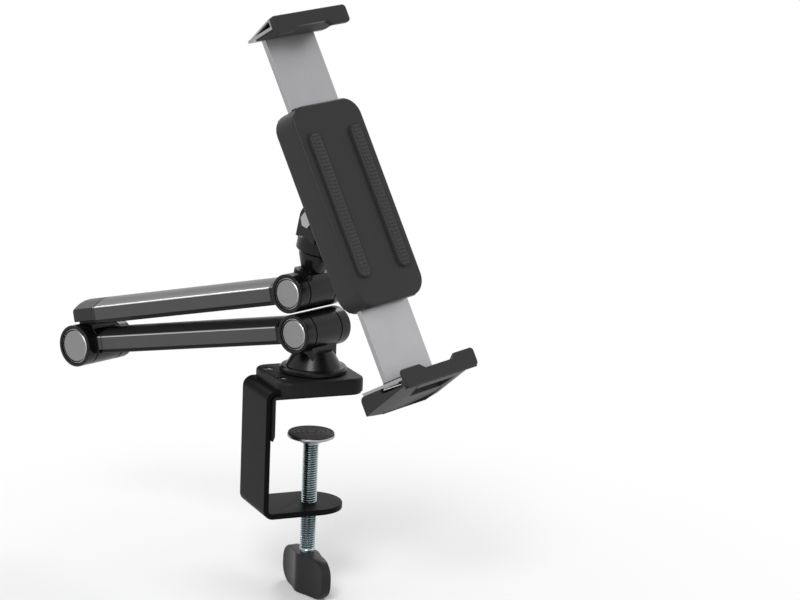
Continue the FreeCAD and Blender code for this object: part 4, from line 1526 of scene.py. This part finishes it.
@dataclass
class Arm(Assembly):
    """An arm's section with its milled edges in pale bare metal that paints their highlight, its strip,
    and pieces at its ends.

    Attributes:
        name: the start of its nodes' names.
        pivot: the joint at the end with the seam.
        seam: from the section's end to the seam.
        ends: node to slot, finish and edge radius, for the pieces at its ends.
        crown: the arched top's height.
        bright_side: how far the pale edge, a painted highlight, reaches down the side.
        bright_top: how far it reaches over the crown.
        seam_width: the seam's.
        seam_depth: the seam's.
        seam_flank: a flank's share of the seam's width.
        crown_faces: how far up a face of the crown looks at least, as a cosine.
        side_faces: how squarely a face of the side looks aside at least, as a cosine.
        edge: the round on the section's edges.
        edge_segments: facets across it.
        strip_edge: the round on the strip's edges.
    """

    name: str
    pivot: str
    seam: float
    ends: dict[str, tuple[Slot, Finish, float]] = field(default_factory=dict)
    crown: float = 5.0 * MM
    bright_side: float = 0.35 * MM
    bright_top: float = 0.75 * MM
    seam_width: float = 0.9 * MM
    seam_depth: float = 0.6 * MM
    seam_flank: float = 0.2
    crown_faces: float = 0.1
    side_faces: float = 0.9
    edge: float = 0.25 * MM
    edge_segments: int = 2
    strip_edge: float = 0.25 * MM

    def build(self) -> list[Object]:
        """Makes the arm's pieces and returns them."""
        pieces = [self.section(), dress(self.name + "_strip", Slot.MOULDING, PLASTIC, self.strip_edge)]
        return pieces + [dress(node, *looks) for node, looks in self.ends.items()]

    def section(self) -> Object:
        """The extruded section: cut edges in pale bare metal that paints their highlight, and a seam where
        its end piece starts.

        Returns:
            The piece.
        """
        node = self.name + "_profile"
        pivot = joint_point(self.pivot)
        along = long_way(node)
        if (pivot - middle_of(node)).dot(along) > 0:
            along = -along
        above = along.cross(ACROSS)
        axes = Axes(pivot, along, above if above.z > 0 else -above)
        work = merged_copy(node)
        extent = Extent.of([v.co for v in work.verts], axes)
        side_top, half = extent.high.z - self.crown, extent.size.y / 2
        start = extent.high.x - self.seam
        cuts = [(axes.z, side_top - self.bright_side)]
        cuts += [(ACROSS, side * (half - self.bright_top)) for side in (-1, 1)]
        cuts += [(along, start + share * self.seam_width)
                 for share in (0.0, self.seam_flank, 1 - self.seam_flank, 1.0)]
        for normal, level in cuts:
            bmesh.ops.bisect_plane(work, geom=work.verts[:] + work.edges[:] + work.faces[:], dist=MERGE,
                                   plane_co=axes.origin + normal * level, plane_no=normal)
        self.sink_seam(work, axes, start, side_top)
        self.brighten(work, axes, side_top, half)
        mesh = bpy.data.meshes.new(node + "_dressed")
        work.to_mesh(mesh)
        work.free()
        # The second finish is pale metal on the milled edges, a painted highlight along them
        paint(mesh, arm_metal(self.name, along), EDGE_METAL_AND_HIGHLIGHT)
        item = link(node + "_dressed", mesh)
        return claim(round_edges(item, self.edge, self.edge_segments), node)

    def sink_seam(self, work: BMesh, axes: Axes, start: float, side_top: float) -> None:
        """Presses the seam's middle loops into the section.

        Args:
            work: the section's mesh.
            axes: the arm's frame.
            start: where the seam begins along the arm.
            side_top: the height of the sides.
        """
        inside = self.seam_flank / 2
        for vert in work.verts:
            spot = axes.local(vert.co)
            if not inside < (spot.x - start) / self.seam_width < 1 - inside:
                continue
            # Points near the middle plane keep their place across the arm
            if abs(spot.y) > self.crown:
                vert.co -= axes.y * math.copysign(self.seam_depth, spot.y)
            if spot.z > side_top - self.bright_side * 2:
                vert.co -= axes.z * self.seam_depth

    def brighten(self, work: BMesh, axes: Axes, side_top: float, half: float) -> None:
        """Gives the milled edge between side and crown a pale bare metal, which paints a highlight along
        it.

        Args:
            work: the section's mesh.
            axes: the arm's frame.
            side_top: the height of the sides.
            half: half the section's width.
        """
        for face in work.faces:
            spot = axes.local(face.calc_center_median())
            crown, side = face.normal.dot(axes.z), abs(face.normal.dot(axes.y))
            outside = crown > self.crown_faces or side > self.side_faces
            if outside and spot.z > side_top - self.bright_side and abs(spot.y) > half - self.bright_top:
                face.material_index = Layer.BRIGHT.value


@dataclass
class Head(Assembly):
    """The castings of the two swivels and the tilt, with their screws."""

    edge: float = 0.4 * MM

    def build(self) -> list[Object]:
        """Makes the head's pieces.

        Returns:
            The pieces.
        """
        castings = ("turret", "neck", "yoke", "tilt_block")
        fasteners = ("turret_set_screw", "yoke_screw", "tilt_nut", "rotor_bolt", "tilt_pin")
        return ([dress(node, Slot.CAST, CAST, self.edge) for node in castings]
                + [keep(node, STEEL) for node in fasteners])


@dataclass
class Cradle(Assembly):
    """The housing that the two slides run in, with its pads, screws and pinion."""

    screws: NodeTree
    ribs: NodeTree
    edge: float = 0.35 * MM
    head_radius: float = 2.7 * MM
    head_height: float = 2.0 * MM
    shank_radius: float = 1.45 * MM
    socket: float = 1.2 * MM

    def build(self) -> list[Object]:
        """Makes the cradle's pieces.

        Returns:
            The pieces.
        """
        return [dress("cradle_back", Slot.GRIPPER, NYLON, self.edge),
                dress("cradle_front", Slot.GRIPPER, NYLON, self.edge),
                keep("pinion", ACETAL),
                ScrewSet("cradle_screws", Axes.along(Vector(), -CRADLE_N, CRADLE_X), self.head_radius,
                         self.head_height, self.shank_radius, self.socket, self.screws).build(),
                RibbedPad("cradle_pads", Axes(Vector(), CRADLE_X, CRADLE_N), self.ribs).build()]


@dataclass
class Gripper(Assembly):
    """One slide with its lip, pads and screws."""

    name: str
    slide_edge: float = 0.2 * MM
    lip_edge: float = 0.6 * MM
    lip_segments: int = 4
    pad_edge: float = 0.15 * MM
    flat_segments: int = 2
    ledge: Ledge = Ledge(CRADLE_X, 0.8 * MM, 30 * MM)

    def build(self) -> list[Object]:
        """Makes the gripper's pieces.

        Returns:
            The pieces.
        """
        return [dress(self.name + "_slide", Slot.DISC, PLATE_METAL, self.slide_edge, self.flat_segments),
                dress(self.name + "_gripper", Slot.GRIPPER, NYLON, self.lip_edge, self.lip_segments,
                      self.ledge),
                dress(self.name + "_pads", Slot.RUBBER, RUBBER, self.pad_edge, self.flat_segments),
                keep(self.name + "_screws", STEEL)]


# Studio
@dataclass(frozen=True)
class Lamp:
    """A soft square light that faces the object.

    Attributes:
        name: its name.
        place: where it stands.
        power: in watts.
        size: its side in metres.
    """

    name: str
    place: tuple[float, float, float]
    power: float
    size: float

    def build(self) -> None:
        """Hangs the light."""
        data = bpy.data.lights.new(self.name, "AREA")
        data.energy = self.power
        data.size = self.size
        item = bpy.data.objects.new(self.name, data)
        item.location = self.place
        aim = (CAD_BOX[0] + CAD_BOX[1]) / 2
        item.rotation_euler = (aim - Vector(self.place)).to_track_quat("-Z", "Y").to_euler()
        bpy.context.scene.collection.objects.link(item)


@dataclass(frozen=True)
class Camera:
    """The photograph's camera, fitted to the object; angles in degrees, lens in millimetres."""

    place: tuple[float, float, float] = (-0.5503, -1.3441, 0.3734)
    azimuth: float = 24.32
    elevation: float = 12.25
    roll: float = 2.35
    lens: float = 108.27
    sensor: float = 36.0

    def build(self) -> None:
        """Sets the camera up and makes it the scene's."""
        azimuth, elevation = math.radians(self.azimuth), math.radians(self.elevation)
        ahead = Vector((math.sin(azimuth) * math.cos(elevation), math.cos(azimuth) * math.cos(elevation),
                        -math.sin(elevation)))
        right = ahead.cross(UP).normalized()
        above = right.cross(ahead)
        roll = math.radians(self.roll)
        rolled_right = right * math.cos(roll) + above * math.sin(roll)
        rolled_up = above * math.cos(roll) - right * math.sin(roll)
        data = bpy.data.cameras.new("camera")
        data.lens = self.lens
        data.sensor_width = self.sensor
        item = bpy.data.objects.new("camera", data)
        item.matrix_world = place_matrix(Vector(self.place), (rolled_right, rolled_up, -ahead))
        bpy.context.scene.collection.objects.link(item)
        bpy.context.scene.camera = item


@dataclass
class Studio:
    """Floor, white surround, soft lights and the camera.

    Attributes:
        floor_size: the floor's side.
        floor_colour: in sRGB hex.
        floor_roughness: the floor's.
        sky_colour: in sRGB hex.
        sky_level: how strongly the surround lights the object.
        fade_start: from where the floor turns into plain white.
        fade_end: from where it is plain white.
        lamps: the lights.
        camera: the camera.
    """

    floor_size: float = 30.0
    floor_colour: str = "#f4f4f4"
    floor_roughness: float = 0.9
    sky_colour: str = "#ffffff"
    sky_level: float = 0.5
    fade_start: float = 0.10
    fade_end: float = 0.45
    lamps: tuple[Lamp, ...] = (Lamp("key", (-1.0, -1.3, 1.5), 24.0, 0.8),
                               Lamp("edge", (-0.6, 1.6, 1.3), 7.0, 0.45),
                               Lamp("rim", (0.9, 1.0, 1.3), 8.0, 0.6),
                               Lamp("fill", (1.5, -0.9, 0.5), 2.0, 1.0))
    camera: Camera = Camera()

    def build(self) -> None:
        """Makes the studio."""
        self.floor()
        self.sky()
        for lamp in self.lamps:
            lamp.build()
        self.camera.build()
        bpy.context.scene.view_settings.view_transform = "Standard"

    def floor(self) -> None:
        """A plain pale plane under the lowest point, which fades to white away from the object."""
        level = CAD_BOX[0].z
        half = self.floor_size / 2
        corners = [(-half, -half, level), (half, -half, level), (half, half, level), (-half, half, level)]
        mesh = bpy.data.meshes.new("floor")
        mesh.from_pydata(corners, [], [(0, 1, 2, 3)])
        item = link("floor", mesh)
        material = bpy.data.materials.new("pale_floor")
        material.use_nodes = True
        tree = material.node_tree
        shader = first_node(tree, "BSDF_PRINCIPLED")
        set_sockets(tree, shader, {"Base Color": linear(self.floor_colour),
                                   "Roughness": self.floor_roughness})
        fade = add_node(tree, "ShaderNodeMapRange",
                        {"Value": length_of(tree, object_place(tree)), "From Min": self.fade_start,
                         "From Max": self.fade_end}, interpolation_type="SMOOTHSTEP")
        share = add_node(tree, "ShaderNodeMath", {0: fade.outputs[0], 1: self.seen(tree)},
                         operation="MULTIPLY")
        white = add_node(tree, "ShaderNodeEmission", {"Strength": 1.0})
        mixed = add_node(tree, "ShaderNodeMixShader",
                         {0: share.outputs[0], 1: shader.outputs[0], 2: white.outputs[0]})
        set_sockets(tree, first_node(tree, "OUTPUT_MATERIAL"), {"Surface": mixed.outputs[0]})
        mesh.materials.append(material)

    def sky(self) -> None:
        """An even white surround."""
        world = bpy.data.worlds.new("studio")
        world.use_nodes = True
        bpy.context.scene.world = world
        tree = world.node_tree
        level = first_node(tree, "BACKGROUND")
        set_sockets(tree, level, {"Color": linear(self.sky_colour), "Strength": self.sky_level})
        white = add_node(tree, "ShaderNodeBackground", {"Color": linear(self.sky_colour), "Strength": 1.0})
        mixed = add_node(tree, "ShaderNodeMixShader",
                         {0: self.seen(tree), 1: level.outputs[0], 2: white.outputs[0]})
        set_sockets(tree, first_node(tree, "OUTPUT_WORLD"), {"Surface": mixed.outputs[0]})

    def seen(self, tree: NodeTree) -> NodeSocket:
        """One for what the camera, a gloss or a glass sees, nought for what only lights.

        Args:
            tree: the tree that asks.

        Returns:
            The socket.
        """
        path = add_node(tree, "ShaderNodeLightPath").outputs
        gloss = add_node(tree, "ShaderNodeMath", {0: path["Is Camera Ray"], 1: path["Is Glossy Ray"]},
                         operation="MAXIMUM")
        any_sight = add_node(tree, "ShaderNodeMath",
                             {0: gloss.outputs[0], 1: path["Is Transmission Ray"]}, operation="MAXIMUM")
        return any_sight.outputs[0]


def main() -> None:
    """Builds every sub-assembly in order, reports each piece, and sets up the studio."""
    logging.basicConfig(level=logging.INFO, format="%(message)s")
    screws, ribs = screw_group(), rib_group()
    upper_ends = {"elbow_knuckle": (Slot.CAST, CAST, 0.4 * MM),
                  "upper_end_cap": (Slot.MOULDING, CAP_PLASTIC, 0.7 * MM)}
    assemblies: list[Assembly] = [
        Clamp(screws), Jack(), Knob(), Arm("lower", "base_tilt", seam=3.6 * MM),
        Arm("upper", "neck_tilt", seam=1.4 * MM, ends=upper_ends), Hinge("base", "base_tilt"),
        Hinge("elbow", "elbow_fold"), Hinge("head", "neck_tilt"), Head(), Cradle(screws, ribs),
        Gripper("top"), Gripper("bottom")]
    for assembly in assemblies:
        for piece in assembly.build():
            LOG.info("%s: %s, %d faces", type(assembly).__name__, piece.name, len(piece.data.polygons))
    Studio().build()


if __name__ == "__main__":
    main()
